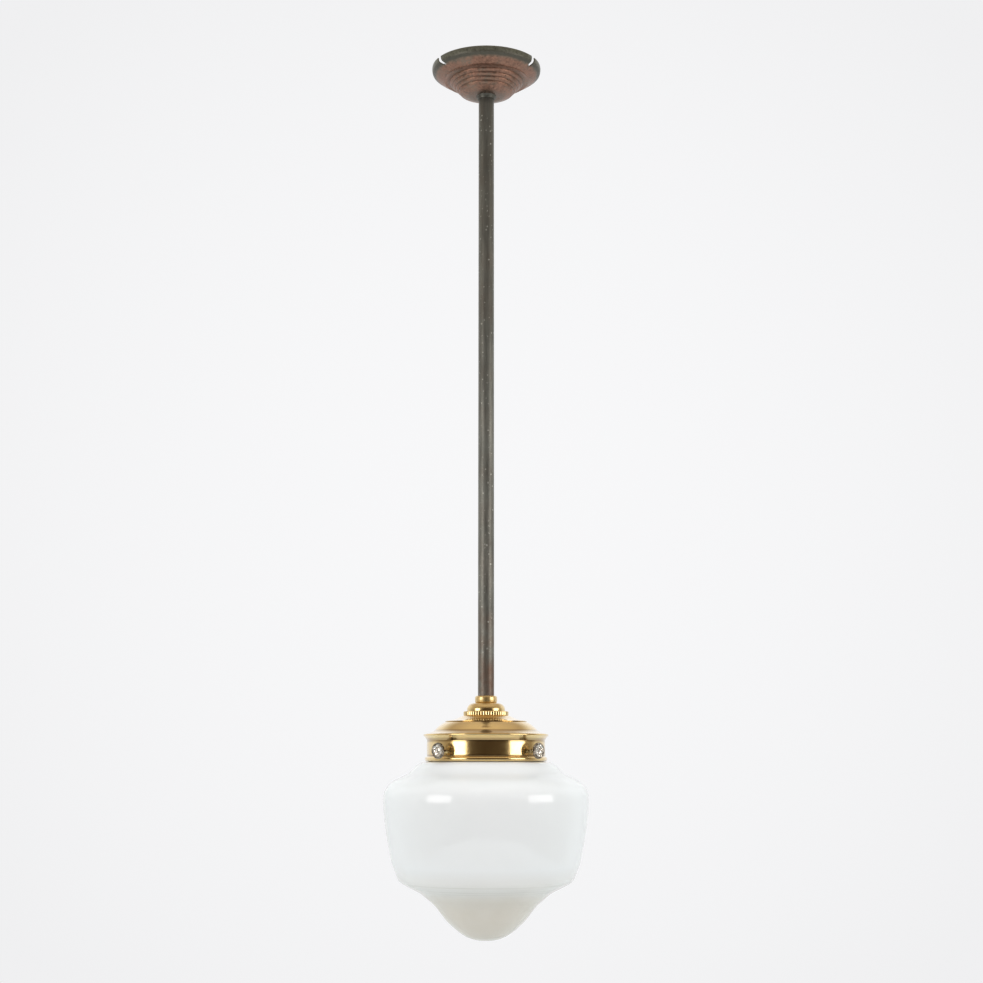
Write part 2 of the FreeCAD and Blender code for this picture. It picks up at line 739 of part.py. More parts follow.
def shade_points():
    """The outside of the shade below its straight neck, from neck to tip."""
    neck = at(GLASS_NECK_R, gallery_foot + NECK_FOOT_RISE)
    collar = at(GLASS_COLLAR_R, gallery_foot - GLASS_COLLAR_DROP)
    widest = at(SHADE_R, gallery_foot - SHADE_R_DROP)
    hip = at(HIP_R, gallery_foot - HIP_DROP)
    tip_top = at(TIP_R, gallery_foot - TIP_TOP_DROP)
    tip = at(0, gallery_foot - SHADE_DROP)
    return (between(neck, collar, NECK_CURVE) + between(collar, widest, SHOULDER_CURVE)
            + between(widest, hip, BODY_CURVE) + between(hip, tip_top, HIP_CURVE)
            + between(tip_top, tip, TIP_CURVE))


def glass_shade():
    """Opal glass: a lipped neck, a rounded collar, a shoulder, a tapering body and an acorn tip.

    One blown piece on the real lamp, parted here at its level rings so that each band stays open inside.
    """
    points = shade_points()
    outer, inner = blown(points, GLASS_WALL)
    lip_foot = screw_height + SHANK_R + PART_GAP
    lip_top = lip_foot + GLASS_LIP_H
    lip_r = GLASS_NECK_R + GLASS_LIP
    soft = GLASS_LIP / 2
    glass = turned(
        at(GLASS_NECK_R - GLASS_WALL, lip_top), at(lip_r - soft, lip_top),
        (at(lip_r, lip_top - soft), soft / 4), at(lip_r, lip_foot + soft), at(GLASS_NECK_R, lip_foot),
        points[0], outer, inner.StartPoint, inner)
    drops = [-NECK_FOOT_RISE, GLASS_COLLAR_DROP, SHADE_R_DROP, HIP_DROP, SHADE_DROP]
    levels = [lip_top] + [gallery_foot - drop for drop in drops]
    return {"glass_" + name: glass.common(disc(2 * SHADE_R, foot, top))
            for name, top, foot in zip(GLASS_BANDS, levels, levels[1:])}


def lamp_cap():
    return ring(LAMP_CAP_R, LAMP_CAP_R - LAMP_CAP_WALL, lamp_cap_foot, lamp_cap_top)


def lamp_pins():
    pin = Part.makeCylinder(PIN_R, PIN_L)
    seat = LAMP_CAP_R + SEAT_FIT
    return Part.makeCompound([radial(pin, seat, pin_height, azimuth) for azimuth in (-90, 90)])


def lamp_insulator():
    radius = LAMP_CAP_R - LAMP_CAP_WALL - SEAT_FIT
    return disc(radius, lamp_cap_top - INSULATOR_H, lamp_cap_top)


def lamp_contacts():
    return Part.makeCompound(
        [disc(CONTACT_R, lamp_cap_top, lamp_top, x) for x in (-PLUNGER_OFFSET, PLUNGER_OFFSET)])


def bulb_neck_r():
    return LAMP_CAP_R - LAMP_CAP_WALL - SEAT_FIT


def lamp_bulb():
    """A pear-shaped envelope with its neck inside the cap."""
    neck_r = bulb_neck_r()
    middle = bulb_foot + BULB_R
    points = between(at(neck_r, lamp_cap_foot), at(BULB_R, middle), BULB_CURVE)
    for angle in (0, 30, 60, 90):
        turn = math.radians(angle)
        points.append(at(BULB_R * math.cos(turn), middle - BULB_R * math.sin(turn)))
    outer, inner = blown(points, BULB_WALL)
    return turned(
        at(neck_r - BULB_WALL, stem_top()), at(neck_r, stem_top()), points[0], outer,
        inner.StartPoint, inner)


def stem_top():
    return lamp_cap_foot + LAMP_CAP_L / 2


def lamp_stem():
    """A glass stem that flares out to meet the bulb's neck."""
    flare_r = bulb_neck_r() - BULB_WALL - SEAT_FIT
    top = stem_top()
    return turned(
        at(0, top), at(flare_r, top), (at(STEM_R, top - STEM_FLARE_H), STEM_FLARE_BOW),
        at(STEM_R, top - STEM_H), at(0, top - STEM_H))


def lamp_filament():
    """Two legs that spread from the stem and a filament hung between them."""
    top = stem_top() - STEM_H
    knee = top - FILAMENT_LEG
    foot = top - FILAMENT_DROP
    right = [Vector(FILAMENT_HALF_SPAN, 0, foot), Vector(STEM_R / 2, 0, knee), Vector(STEM_R / 2, 0, top)]
    left = [Vector(-p.x, 0, p.z) for p in right[::-1]]
    return wire_tube(left + right, 2 * FILAMENT_R, FILAMENT_R)


pieces = {
    "ceiling_plate": ceiling_plate(),
    "stirrup": stirrup(),
    "stirrup_rivets": stirrup_rivets(),
    "rod_nut_upper": hex_nut(ROD_NUT_FLATS, ROD_R + SEAT_FIT, stirrup_floor, stirrup_floor + ROD_NUT_T),
    "rod_nut_lower": hex_nut(ROD_NUT_FLATS, ROD_R + SEAT_FIT, stirrup_foot - ROD_NUT_T, stirrup_foot),
    "rod": rod(),
    "terminal_block": terminal_block(),
    "terminal_sleeves": terminal_sleeves(),
    "terminal_screws": terminal_screws(),
    "flex_sheath": flex_sheath(),
    "live_core_top": core_top(0),
    "earth_core_top": core_top(1),
    "neutral_core_top": core_top(2),
    "ceiling_rose": ceiling_rose(),
    "rose_collar": rose_collar(),
    "rose_grub_screw": rose_grub_screw(),
    "rod_ferrule": rod_ferrule(),
    "entry_nipple": entry_nipple(),
    "cap_locknut": cap_locknut(),
    "lampholder_cap": lampholder_cap(),
    "upper_shade_ring": upper_shade_ring(),
    "lower_shade_ring": lower_shade_ring(),
    "lampholder_body": lampholder_body(),
    "bayonet_shell": bayonet_shell(),
    "contact_block": contact_block(),
    "contact_plungers": contact_plungers(),
    "contact_springs": contact_springs(),
    "holder_terminals": holder_terminals(),
    "live_core_foot": core_foot(0),
    "neutral_core_foot": core_foot(1),
    "earth_core_foot": core_foot(2),
    "gallery": gallery(),
    "screw_bushes": screw_bushes(),
    **glass_shade(),
    "lamp_cap": lamp_cap(),
    "lamp_pins": lamp_pins(),
    "lamp_insulator": lamp_insulator(),
    "lamp_contacts": lamp_contacts(),
    "lamp_bulb": lamp_bulb(),
    "lamp_stem": lamp_stem(),
    "lamp_filament": lamp_filament(),
}
for number, azimuth in enumerate(screw_azimuths, start=1):
    pieces["gallery_screw_shank_%d" % number] = screw_shank(azimuth)
    pieces["gallery_screw_head_%d" % number] = screw_head(azimuth)

os.makedirs("parts", exist_ok=True)
for name, shape in pieces.items():
    if not shape.isValid():
        raise ValueError(name + " is not a valid shape")
    shape.exportStep("parts/" + name + ".step")
    print("%-24s %2d solids %12.2f mm3" % (name, len(shape.Solids), shape.Volume))
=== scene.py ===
import json
import math

import bpy
import numpy as np
from bpy.props import FloatProperty, FloatVectorProperty, IntProperty, PointerProperty
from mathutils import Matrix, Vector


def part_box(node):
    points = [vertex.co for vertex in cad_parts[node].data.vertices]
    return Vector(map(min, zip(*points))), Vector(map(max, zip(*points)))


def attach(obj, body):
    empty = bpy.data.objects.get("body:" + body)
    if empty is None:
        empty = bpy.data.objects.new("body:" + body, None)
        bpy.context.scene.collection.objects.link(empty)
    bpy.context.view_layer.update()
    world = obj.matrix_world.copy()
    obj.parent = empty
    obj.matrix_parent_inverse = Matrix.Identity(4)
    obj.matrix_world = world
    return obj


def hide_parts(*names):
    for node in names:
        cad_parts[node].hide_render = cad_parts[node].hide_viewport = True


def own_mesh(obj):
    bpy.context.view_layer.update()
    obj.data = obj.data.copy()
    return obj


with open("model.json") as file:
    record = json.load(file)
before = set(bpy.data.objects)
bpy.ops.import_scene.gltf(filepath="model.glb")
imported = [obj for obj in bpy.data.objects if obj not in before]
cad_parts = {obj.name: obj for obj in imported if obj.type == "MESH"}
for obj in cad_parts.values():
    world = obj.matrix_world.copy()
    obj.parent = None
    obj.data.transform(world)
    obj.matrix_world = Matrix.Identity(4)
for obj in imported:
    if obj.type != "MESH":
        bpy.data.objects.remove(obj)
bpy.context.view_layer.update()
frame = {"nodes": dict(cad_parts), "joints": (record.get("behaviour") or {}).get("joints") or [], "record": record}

bl_info = {
    "name": "Schoolhouse Pendant Light",
    "version": (1, 0, 0),
    "blender": (4, 5, 0),
    "location": "View3D > Sidebar > Pendant",
    "description": "Builds a pendant light with a copper rose, dark rod, brass gallery and opal glass shade",
    "category": "Object",
}

MM = 0.001
SHARP_ANGLE = math.radians(42)
# What one radian of turning counts for, in mm of line, where points are spread along an outline
TURN_WEIGHT = 2.5
# The share of a groove's depth that its relief gets
GROOVE_RELIEF = 0.8
GLASS_NODES = ["glass_neck", "glass_collar", "glass_shoulder", "glass_body", "glass_tip"]
# Heights of the faint rings at the glass's hip, above its tip, and how far each one fades, in mm
HIP_RINGS = (43.7, 39.9, 38.1)
HIP_RING_WIDTH = 0.7
# Each slot in the rose's lip: its turn from the front and its lean on the way down, in degrees
ROSE_SLOTS = [(-59.3, 5.6), (59.3, -1.5), (180.0, 0.0)]
# Radius of the passage for the wires through the bead and the cap, in mm
WIRE_BORE = 5.05


def top_of(node):
    """Height of a CAD node's highest point, in mm."""
    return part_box(node)[1].z / MM


def foot_of(node):
    """Height of a CAD node's lowest point, in mm."""
    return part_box(node)[0].z / MM


def half_width(node):
    """Half of a CAD node's width along X, in metres."""
    low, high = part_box(node)
    return (high.x - low.x) / 2


# Sizes and colours that a user would change

def length(name, description, default):
    return FloatProperty(name=name, description=description, default=default, unit="LENGTH", precision=5)


def colour(name, description, default):
    return FloatVectorProperty(name=name, description=description, default=default, subtype="COLOR", size=3,
                               min=0.0, max=1.0)


def share(name, description, default):
    return FloatProperty(name=name, description=description, default=default, subtype="FACTOR",
                         min=0.0, max=1.0)


def whole_number(name, description, default, least):
    return IntProperty(name=name, description=description, default=default, min=least)


class PendantSizes(bpy.types.PropertyGroup):
    """Sizes of the pieces that show."""
    rod_radius: length("Rod radius", "Outside radius of the hanging rod", half_width("rod"))
    rose_radius: length("Rose radius", "Radius of the ceiling rose at its rim", 45.0 * MM)
    rose_wall: length("Rose wall", "Thickness of the spun rose", 1.0 * MM)
    rose_slot_width: length("Rose slot", "Width of each slot in the rose's lip", 5.0 * MM)
    rose_ridges: whole_number("Rose ridges", "Raised rings on the rose's cone", 4, least=1)
    gallery_band_radius: length("Band radius", "Radius of the gallery's upright band", 46.2 * MM)
    gallery_wall: length("Gallery wall", "Thickness of the spun gallery", 1.0 * MM)
    ring_ribs: whole_number("Ring ribs", "Ribs round the shade ring", 48, least=8)
    head_radius: length("Head radius", "Radius of a gallery screw's head", 6.2 * MM)
    head_ribs: whole_number("Head ribs", "Ribs round a gallery screw's head", 36, least=8)
    shade_radius: length("Shade radius", "Largest radius of the glass shade", half_width("glass_body"))
    shade_wall: length("Shade wall", "Thickness of the glass", 2.8 * MM)
    round_steps: whole_number("Round steps", "Faces round each large turned piece", 256, least=32)


class PendantColours(bpy.types.PropertyGroup):
    """Colours and finishes of the pieces that show."""
    brass: colour("Brass", "Polished brass", (0.88, 0.65, 0.285))
    # The brass's hollow colour stands for tarnished brass and also for painted shade.
    brass_tarnish: colour("Brass tarnish", "Brass in its hollows", (0.24, 0.13, 0.04))
    nickel: colour("Nickel", "Polished nickel plate", (0.80, 0.77, 0.71))
    copper: colour("Copper", "Aged copper", (0.310, 0.163, 0.114))
    copper_dark: colour("Copper hollows", "Copper where dirt has settled", (0.07, 0.040, 0.026))
    verdigris: colour("Lip patina", "Green-grey patina on the rose's lip", (0.108, 0.102, 0.073))
    bronze: colour("Bronze", "Dark bronze of the rod", (0.180, 0.178, 0.157))
    bronze_warm: colour("Bronze rubbed", "Bronze where it is rubbed or rusted", (0.15, 0.075, 0.045))
    opal: colour("Opal glass", "White opal glass", (0.853, 0.853, 0.855))
    # The tip colour is partly the glass's tint and partly painted shade.
    opal_warm: colour("Opal tip", "Opal glass towards the tip", (0.62, 0.558, 0.478))
    backdrop: colour("Backdrop", "Pale studio backdrop", (0.935, 0.935, 0.945))
    brass_gloss: share("Brass roughness", "Roughness of the polished brass", 0.18)


# Turned outlines: arrays of (r, z) in millimetres, from the top down the outside

def bow(start, end, sag, count=24):
    """Points of an arc whose middle stands off its chord by sag, outwards on the way down.

    With half chord c, the radius is (c*c + sag*sag) / (2 sag) and the half angle is 2 atan(sag / c).
    """
    start, end = np.array(start, float), np.array(end, float)
    along = (end - start) / 2
    half = np.linalg.norm(along)
    side = np.array([-along[1], along[0]]) / half
    turn = 2 * math.atan(abs(sag) / half)
    t = np.linspace(-turn, turn, count)[:, None]
    radius = half / math.sin(turn)
    middle = (start + end) / 2
    return middle + along / half * radius * np.sin(t) + math.copysign(1, sag) * side * radius * (
        np.cos(t) - math.cos(turn))


def run_along(outline):
    """Distance of each point from the first one, along the outline."""
    return np.concatenate([[0], np.cumsum(np.linalg.norm(np.diff(outline, axis=0), axis=1))])


def read_at(places, run, outline):
    """The outline's points at places along it, where run holds the places of its own points."""
    return np.column_stack([np.interp(places, run, outline[:, axis]) for axis in (0, 1)])


def smooth_curve(points, first, last, count=400):
    """Points of a cubic spline through points, with chord length as its parameter.

    The slopes at the inner points solve one linear system that keeps the curvature continuous. The curve
    runs from knot k to knot k + 1 as u runs from 0 to 1.
    """
    knots = np.array(points, float)
    gap = np.linalg.norm(np.diff(knots, axis=0), axis=1)
    row = np.arange(1, len(knots) - 1)
    system = np.eye(len(knots))
    system[row, row - 1] = gap[1:]
    system[row, row] = 2 * (gap[:-1] + gap[1:])
    system[row, row + 1] = gap[:-1]
    right = np.zeros((len(knots), 2))
    right[0], right[-1] = first, last
    rise = np.diff(knots, axis=0) / gap[:, None]
    right[1:-1] = 3 * (gap[1:, None] * rise[:-1] + gap[:-1, None] * rise[1:])
    slope = np.linalg.solve(system, right)
    run = run_along(knots)
    places = np.linspace(0, run[-1], count)
    k = np.clip(np.searchsorted(run, places, side="right") - 1, 0, len(knots) - 2)
    step = gap[k][:, None]
    u = (places - run[k])[:, None] / step
    return (knots[k] * (1 + 2 * u) * (1 - u) ** 2 + slope[k] * step * u * (1 - u) ** 2
            + knots[k + 1] * (3 - 2 * u) * u ** 2 + slope[k + 1] * step * (u - 1) * u ** 2)


def between(start, end, shares):
    """Points between two places, at shares across and down."""
    start, end = np.array(start, float), np.array(end, float)
    return start + (end - start) * np.array(shares, float)


def spread(outline, step):
    """The outline again, with points at even steps along it, in eight steps or more."""
    run = run_along(outline)
    places = np.linspace(0, run[-1], max(int(run[-1] / step), 8) + 1)
    return read_at(places, run, outline)


def blurred(values, width, closed):
    """Values averaged along the outline with a bell-shaped weight of that width in steps."""
    reach = int(3 * width) + 1
    bell = np.exp(-0.5 * (np.arange(-reach, reach + 1) / width) ** 2)
    bell /= bell.sum()
    if closed:
        padded = np.concatenate([values[-reach:], values, values[:reach]])
    else:
        padded = np.concatenate([2 * values[0] - values[reach:0:-1], values,
                                 2 * values[-1] - values[-2:-reach - 2:-1]])
    return np.column_stack([np.convolve(column, bell, mode="valid") for column in padded.T])


def outward(outline, closed):
    """Unit normals of an outline that runs down the outside: the run turned a quarter to its left."""
    if closed:
        run = np.roll(outline, -1, axis=0) - np.roll(outline, 1, axis=0)
    else:
        run = np.gradient(outline, axis=0)
    run /= np.maximum(np.linalg.norm(run, axis=1), 1e-9)[:, None]
    return np.column_stack([-run[:, 1], run[:, 0]])


def turned_outline(pieces, count, soft=0.12, reach=1.6, closed=True):
    """An outline with softened edges, thinned to count points, and its relief.

    Edges are averaged over soft mm. The relief is how far the line stands out of its own average over
    reach mm: above zero on crests and below it in hollows. Thinning puts more points where the line turns.
    """
    step = 0.05
    line = np.concatenate(pieces)
    if closed:
        line = np.concatenate([line, line[:1]])
    line = spread(line, step)
    if closed:
        line = line[:-1]
    line = blurred(line, soft / step, closed)
    side = outward(line, closed)
    relief = ((line - blurred(line, reach / step, closed)) * side).sum(axis=1)
    ends = np.concatenate([line, line[:1]]) if closed else line
    move = np.diff(ends, axis=0)
    heading = np.unwrap(np.arctan2(move[:, 1], move[:, 0]))
    turn = np.abs(np.diff(heading, append=heading[-1:]))
    weight = np.concatenate([[0], np.cumsum(np.linalg.norm(move, axis=1) + TURN_WEIGHT * turn)])
    places = np.linspace(0, weight[-1], count, endpoint=not closed)
    levels = np.concatenate([relief, relief[:1]]) if closed else relief
    return read_at(places, weight, ends), np.interp(places, weight, levels)


# Meshes

def add_piece(name, points, faces, relief=None):
    """A new object at the origin from points in metres, smooth but for its sharp corners."""
    mesh = bpy.data.meshes.new(name)
    mesh.from_pydata(points, [], faces)
    mesh.validate()
    mesh.polygons.foreach_set("use_smooth", np.ones(len(mesh.polygons), bool))
    mesh.set_sharp_from_angle(angle=SHARP_ANGLE)
    if relief is not None:
        layer = mesh.attributes.new("relief", "FLOAT", "POINT")
        layer.data.foreach_set("value", np.ascontiguousarray(relief, np.float32))
    mesh.update()
    piece = bpy.data.objects.new(name, mesh)
    bpy.context.scene.collection.objects.link(piece)
    return piece


def carried_round(outline, turns):
    """Each (r, z) carried round the Z axis: x = r sin(turn), y = -r cos(turn), in metres.

    Turn 0 is the front and turns grow towards +X. An outline may have a radius for each turn.
    """
    r = np.broadcast_to(outline[..., 0], (len(turns), outline.shape[-2])) * MM
    z = np.broadcast_to(outline[..., 1], r.shape) * MM
    turn = turns if turns.ndim == 2 else turns[:, None]
    return np.stack([r * np.sin(turn), -r * np.cos(turn), z], axis=-1)


def grid_faces(rows, columns, closed):
    """Quads of a grid that wraps from its last row to its first, and along its columns if closed."""
    i = np.arange(rows)[:, None]
    j = np.arange(columns if closed else columns - 1)[None, :]
    a = i * columns + j
    b = i * columns + (j + 1) % columns
    c = (i + 1) % rows * columns + (j + 1) % columns
    d = (i + 1) % rows * columns + j
    return np.stack([a, b, c, d], axis=-1).reshape(-1, 4)


def lathe(name, outline, relief, steps, closed=True):
    """A turned piece: an outline carried round Z.

    A closed outline gives a ring. An open one starts and ends on the axis, and each end is one shared point.
    """
    turns = np.linspace(0, 2 * math.pi, steps, endpoint=False)
    points = carried_round(outline, turns)
    if closed:
        faces = grid_faces(steps, len(outline), True).tolist()
        return add_piece(name, points.reshape(-1, 3), faces, np.tile(relief, steps))
    inner = points[:, 1:-1].reshape(-1, 3)
    row = len(outline) - 2
    faces = grid_faces(steps, row, False).tolist()
    here = np.arange(steps)
    after = (here + 1) % steps
    first, last = steps * row, steps * row + 1
    start = np.stack([np.full(steps, first), here * row, after * row], axis=-1)
    end = np.stack([np.full(steps, last), after * row + row - 1, here * row + row - 1], axis=-1)
    poles = np.array([[0, 0, outline[0, 1] * MM], [0, 0, outline[-1, 1] * MM]])
    values = np.concatenate([np.tile(relief[1:-1], steps), relief[[0, -1]]])
    return add_piece(name, np.concatenate([inner, poles]), faces + start.tolist() + end.tolist(), values)


def turned_ring(name, pieces, count, steps, soft=0.12):
    """A ring turned from the stretches of its outline, with count points along it and steps round it."""
    outline, relief = turned_outline(pieces, count, soft)
    return lathe(name, outline, relief, steps)


def ribbed_ring(name, outline, relief, ribs, depth, on_edge, steps_per_rib=8):
    """A turned ring whose edge swells in round ribs.

    The radius drops by depth * (1 - |sin(ribs * turn / 2)|), scaled by on_edge along the outline.
    """
    steps = ribs * steps_per_rib
    turns = np.linspace(0, 2 * math.pi, steps, endpoint=False)
    drop = depth * (1 - np.abs(np.sin(ribs * turns / 2)))[:, None] * on_edge[None, :]
    lines = np.broadcast_to(outline, (steps,) + outline.shape).copy()
    lines[..., 0] -= drop
    points = carried_round(lines, turns).reshape(-1, 3)
    values = relief[None, :] - drop * GROOVE_RELIEF
    return add_piece(name, points, grid_faces(steps, len(outline), True).tolist(), values.reshape(-1))


def cut_shell(name, outer, inner, relief, keep):
    """A wall between two grids of points, with the cells that keep leaves out cut right through.

    A kept cell has an outer and an inner face, and a wall wherever its neighbour is missing.
    """
    rows, columns = outer.shape[:2]
    index = np.arange(rows * columns).reshape(rows, columns)
    wrap = np.concatenate([index, index[:1]])
    under = index.size
    corners = np.stack([wrap[:-1, :-1], wrap[:-1, 1:], wrap[1:, 1:], wrap[1:, :-1]], axis=-1)
    faces = [corners[keep], corners[keep][:, ::-1] + under]
    above = np.concatenate([np.zeros((rows, 1), bool), keep[:, :-1]], axis=1)
    below = np.concatenate([keep[:, 1:], np.zeros((rows, 1), bool)], axis=1)
    before, after = np.roll(keep, 1, axis=0), np.roll(keep, -1, axis=0)
    for neighbour, a, b in [(above, 3, 0), (before, 0, 1), (below, 1, 2), (after, 2, 3)]:
        edge = corners[keep & ~neighbour]
        faces.append(np.stack([edge[:, b], edge[:, a], edge[:, a] + under, edge[:, b] + under], axis=-1))
    points = np.concatenate([outer.reshape(-1, 3), inner.reshape(-1, 3)])
    values = np.tile(relief, 2 * rows)
    used, faces = np.unique(np.concatenate(faces), return_inverse=True)
    return add_piece(name, points[used], faces.reshape(-1, 4).tolist(), values[used])


def coil(centre, radius, wire, foot, top, turns, steps=160, sides=12):
    """Points and faces of a coiled wire about an upright axis through (centre, 0), in metres.

    At angle a along the coil and b round the wire, the distance from the axis is radius + wire cos(b) and the
    height is rise(a) + wire sin(b). The rise holds still over the first and last half turns, which lie flat.
    """
    a = np.linspace(0, 2 * math.pi * turns, steps)[None, :]
    b = np.linspace(0, 2 * math.pi, sides, endpoint=False)[:, None]
    rise = np.clip((a / (2 * math.pi) - 0.5) / (turns - 1), 0, 1) * (top - foot - 2 * wire) + foot + wire
    away = radius + wire * np.cos(b)
    points = np.stack([centre + away * np.sin(a), -away * np.cos(a), rise + wire * np.sin(b)], axis=-1)
    ring = np.arange(sides) * steps
    faces = grid_faces(sides, steps, False).tolist() + [ring.tolist(), (ring[::-1] + steps - 1).tolist()]
    return points.reshape(-1, 3), faces


def dress(piece, body, slot, finish, *nodes):
    """Gives a piece its finish, seats it on its CAD body and lets it stand for CAD nodes."""
    piece.data.materials.append(finish)
    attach(piece, body)
    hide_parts(*nodes)


# Finishes

class Nodes:
    """Short calls for the nodes of one tree."""

    def __init__(self, tree):
        self.tree = tree

    def node(self, kind, inputs=None, **settings):
        made = self.tree.nodes.new(kind)
        for name, value in settings.items():
            setattr(made, name, value)
        for socket, value in (inputs or {}).items():
            self.put(made.inputs[socket], value)
        return made

    def put(self, socket, value):
        if isinstance(value, bpy.types.NodeSocket):
            self.tree.links.new(value, socket)
        elif isinstance(value, (tuple, list)) and len(value) == 3 and socket.type == "RGBA":
            socket.default_value = (*value, 1.0)
        else:
            socket.default_value = value

    def math(self, operation, a, b=0.0, c=0.0, clamp=False):
        made = self.node("ShaderNodeMath", {0: a, 1: b, 2: c}, operation=operation, use_clamp=clamp)
        return made.outputs[0]

    def span(self, value, low, high, to_low=0.0, to_high=1.0):
        """A value from low to high, carried over to another span and held at its ends."""
        inputs = {"Value": value, "From Min": low, "From Max": high, "To Min": to_low, "To Max": to_high}
        return self.node("ShaderNodeMapRange", inputs, clamp=True).outputs["Result"]

    def mix(self, share_of_b, a, b):
        return self.node("ShaderNodeMix", {0: share_of_b, 6: a, 7: b}, data_type="RGBA").outputs[2]

    def vector(self, operation, inputs):
        return self.node("ShaderNodeVectorMath", inputs, operation=operation).outputs

    def ramp(self, place, stops):
        """A colour that runs through stops of (place, colour)."""
        made = self.node("ShaderNodeValToRGB", {"Fac": place})
        while len(made.color_ramp.elements) < len(stops):
            made.color_ramp.elements.new(0.5)
        for element, (spot, tone) in zip(made.color_ramp.elements, stops):
            element.position = spot
            element.color = (*tone, 1.0)
        return made.outputs["Color"]


class Finish(Nodes):
    """A node material under construction, on Object coordinates."""

    def __init__(self, name, **settings):
        self.material = bpy.data.materials.new("finish_" + name)
        self.material.use_nodes = True
        super().__init__(self.material.node_tree)
        self.shader = self.tree.nodes["Principled BSDF"]
        for socket, value in settings.items():
            self.shader.inputs[socket.replace("_", " ")].default_value = value
        self.place = self.node("ShaderNodeTexCoord").outputs["Object"]

    def set(self, socket, value):
        self.put(self.shader.inputs[socket], value)

    def noise(self, scale, detail=3.0, rough=0.55, place=None):
        inputs = {"Vector": place or self.place, "Scale": scale, "Detail": detail, "Roughness": rough}
        return self.node("ShaderNodeTexNoise", inputs).outputs["Fac"]

    def relief(self):
        return self.node("ShaderNodeAttribute", attribute_name="relief").outputs["Fac"]

    def stretched(self, x, y, z):
        """Object coordinates, scaled along each axis."""
        return self.node("ShaderNodeMapping", {"Vector": self.place, "Scale": (x, y, z)}).outputs["Vector"]

    def height(self):
        return self.node("ShaderNodeSeparateXYZ", {0: self.place}).outputs["Z"]

    def spun(self, fineness):
        """Fine rings, as a spinning lathe leaves them: noise over radius and height alone."""
        parts = self.node("ShaderNodeSeparateXYZ", {0: self.place}).outputs
        flat = self.node("ShaderNodeCombineXYZ", {0: parts["X"], 1: parts["Y"]}).outputs[0]
        radius = self.vector("LENGTH", {0: flat})["Value"]
        rings = self.node("ShaderNodeCombineXYZ", {0: radius, 1: parts["Z"]}).outputs[0]
        return self.noise(fineness, 2.0, 0.6, rings)

    def bump(self, height, strength, distance):
        made = self.node("ShaderNodeBump", {"Height": height, "Strength": strength, "Distance": distance})
        self.set("Normal", made.outputs["Normal"])


def scaled(tone, factor):
    """A colour made darker or lighter by one factor."""
    return tuple(channel * factor for channel in tone)


def polished_brass(colours):
    """Lacquered brass, tarnished and with painted shade in its hollows, whose gloss is softer up to the bead."""
    finish = Finish("polished_brass", Metallic=1.0, Coat_Weight=1.0, Coat_Roughness=0.12, Coat_IOR=1.52)
    brass, tarnish_and_shade = tuple(colours.brass), tuple(colours.brass_tarnish)
    cloud = finish.noise(55.0, 4.0)
    tint = finish.mix(finish.span(cloud, 0.35, 0.7, 0.0, 0.10), brass, tarnish_and_shade)
    # Darker in the hollows: partly tarnished brass, partly painted shade along grooves and edges.
    hollow = finish.span(finish.relief(), -0.04, -0.18, 0.0, 0.65)
    finish.set("Base Color", finish.mix(hollow, tint, tarnish_and_shade))
    smear = finish.noise(220.0, 3.0)
    gloss = colours.brass_gloss
    rough = finish.span(smear, 0.3, 0.7, gloss * 0.85, gloss * 1.2)
    ring_top, bead_foot = top_of("upper_shade_ring") * MM, foot_of("rod_ferrule") * MM
    satin = finish.span(finish.height(), ring_top, bead_foot, 1.0, 2.2)
    finish.set("Roughness", finish.math("MULTIPLY", rough, satin))
    finish.bump(finish.spun(2600.0), strength=0.05, distance=0.2 * MM)
    return finish.material


def polished_nickel(colours):
    """Nickel plate, stained in its hollows, with a wave in its gloss."""
    finish = Finish("polished_nickel", Metallic=1.0)
    stain = (0.20, 0.17, 0.13)
    cloud = finish.noise(240.0, 3.0)
    spots = finish.span(cloud, 0.5, 0.75, 0.0, 0.35)
    hollow = finish.span(finish.relief(), -0.03, -0.25, 0.0, 0.8)
    worn = finish.math("ADD", spots, hollow, clamp=True)
    finish.set("Base Color", finish.mix(worn, tuple(colours.nickel), stain))
    finish.set("Roughness", finish.span(cloud, 0.3, 0.75, 0.06, 0.16))
    finish.bump(finish.noise(380.0, 1.0), strength=1.0, distance=1.4 * MM)
    return finish.material


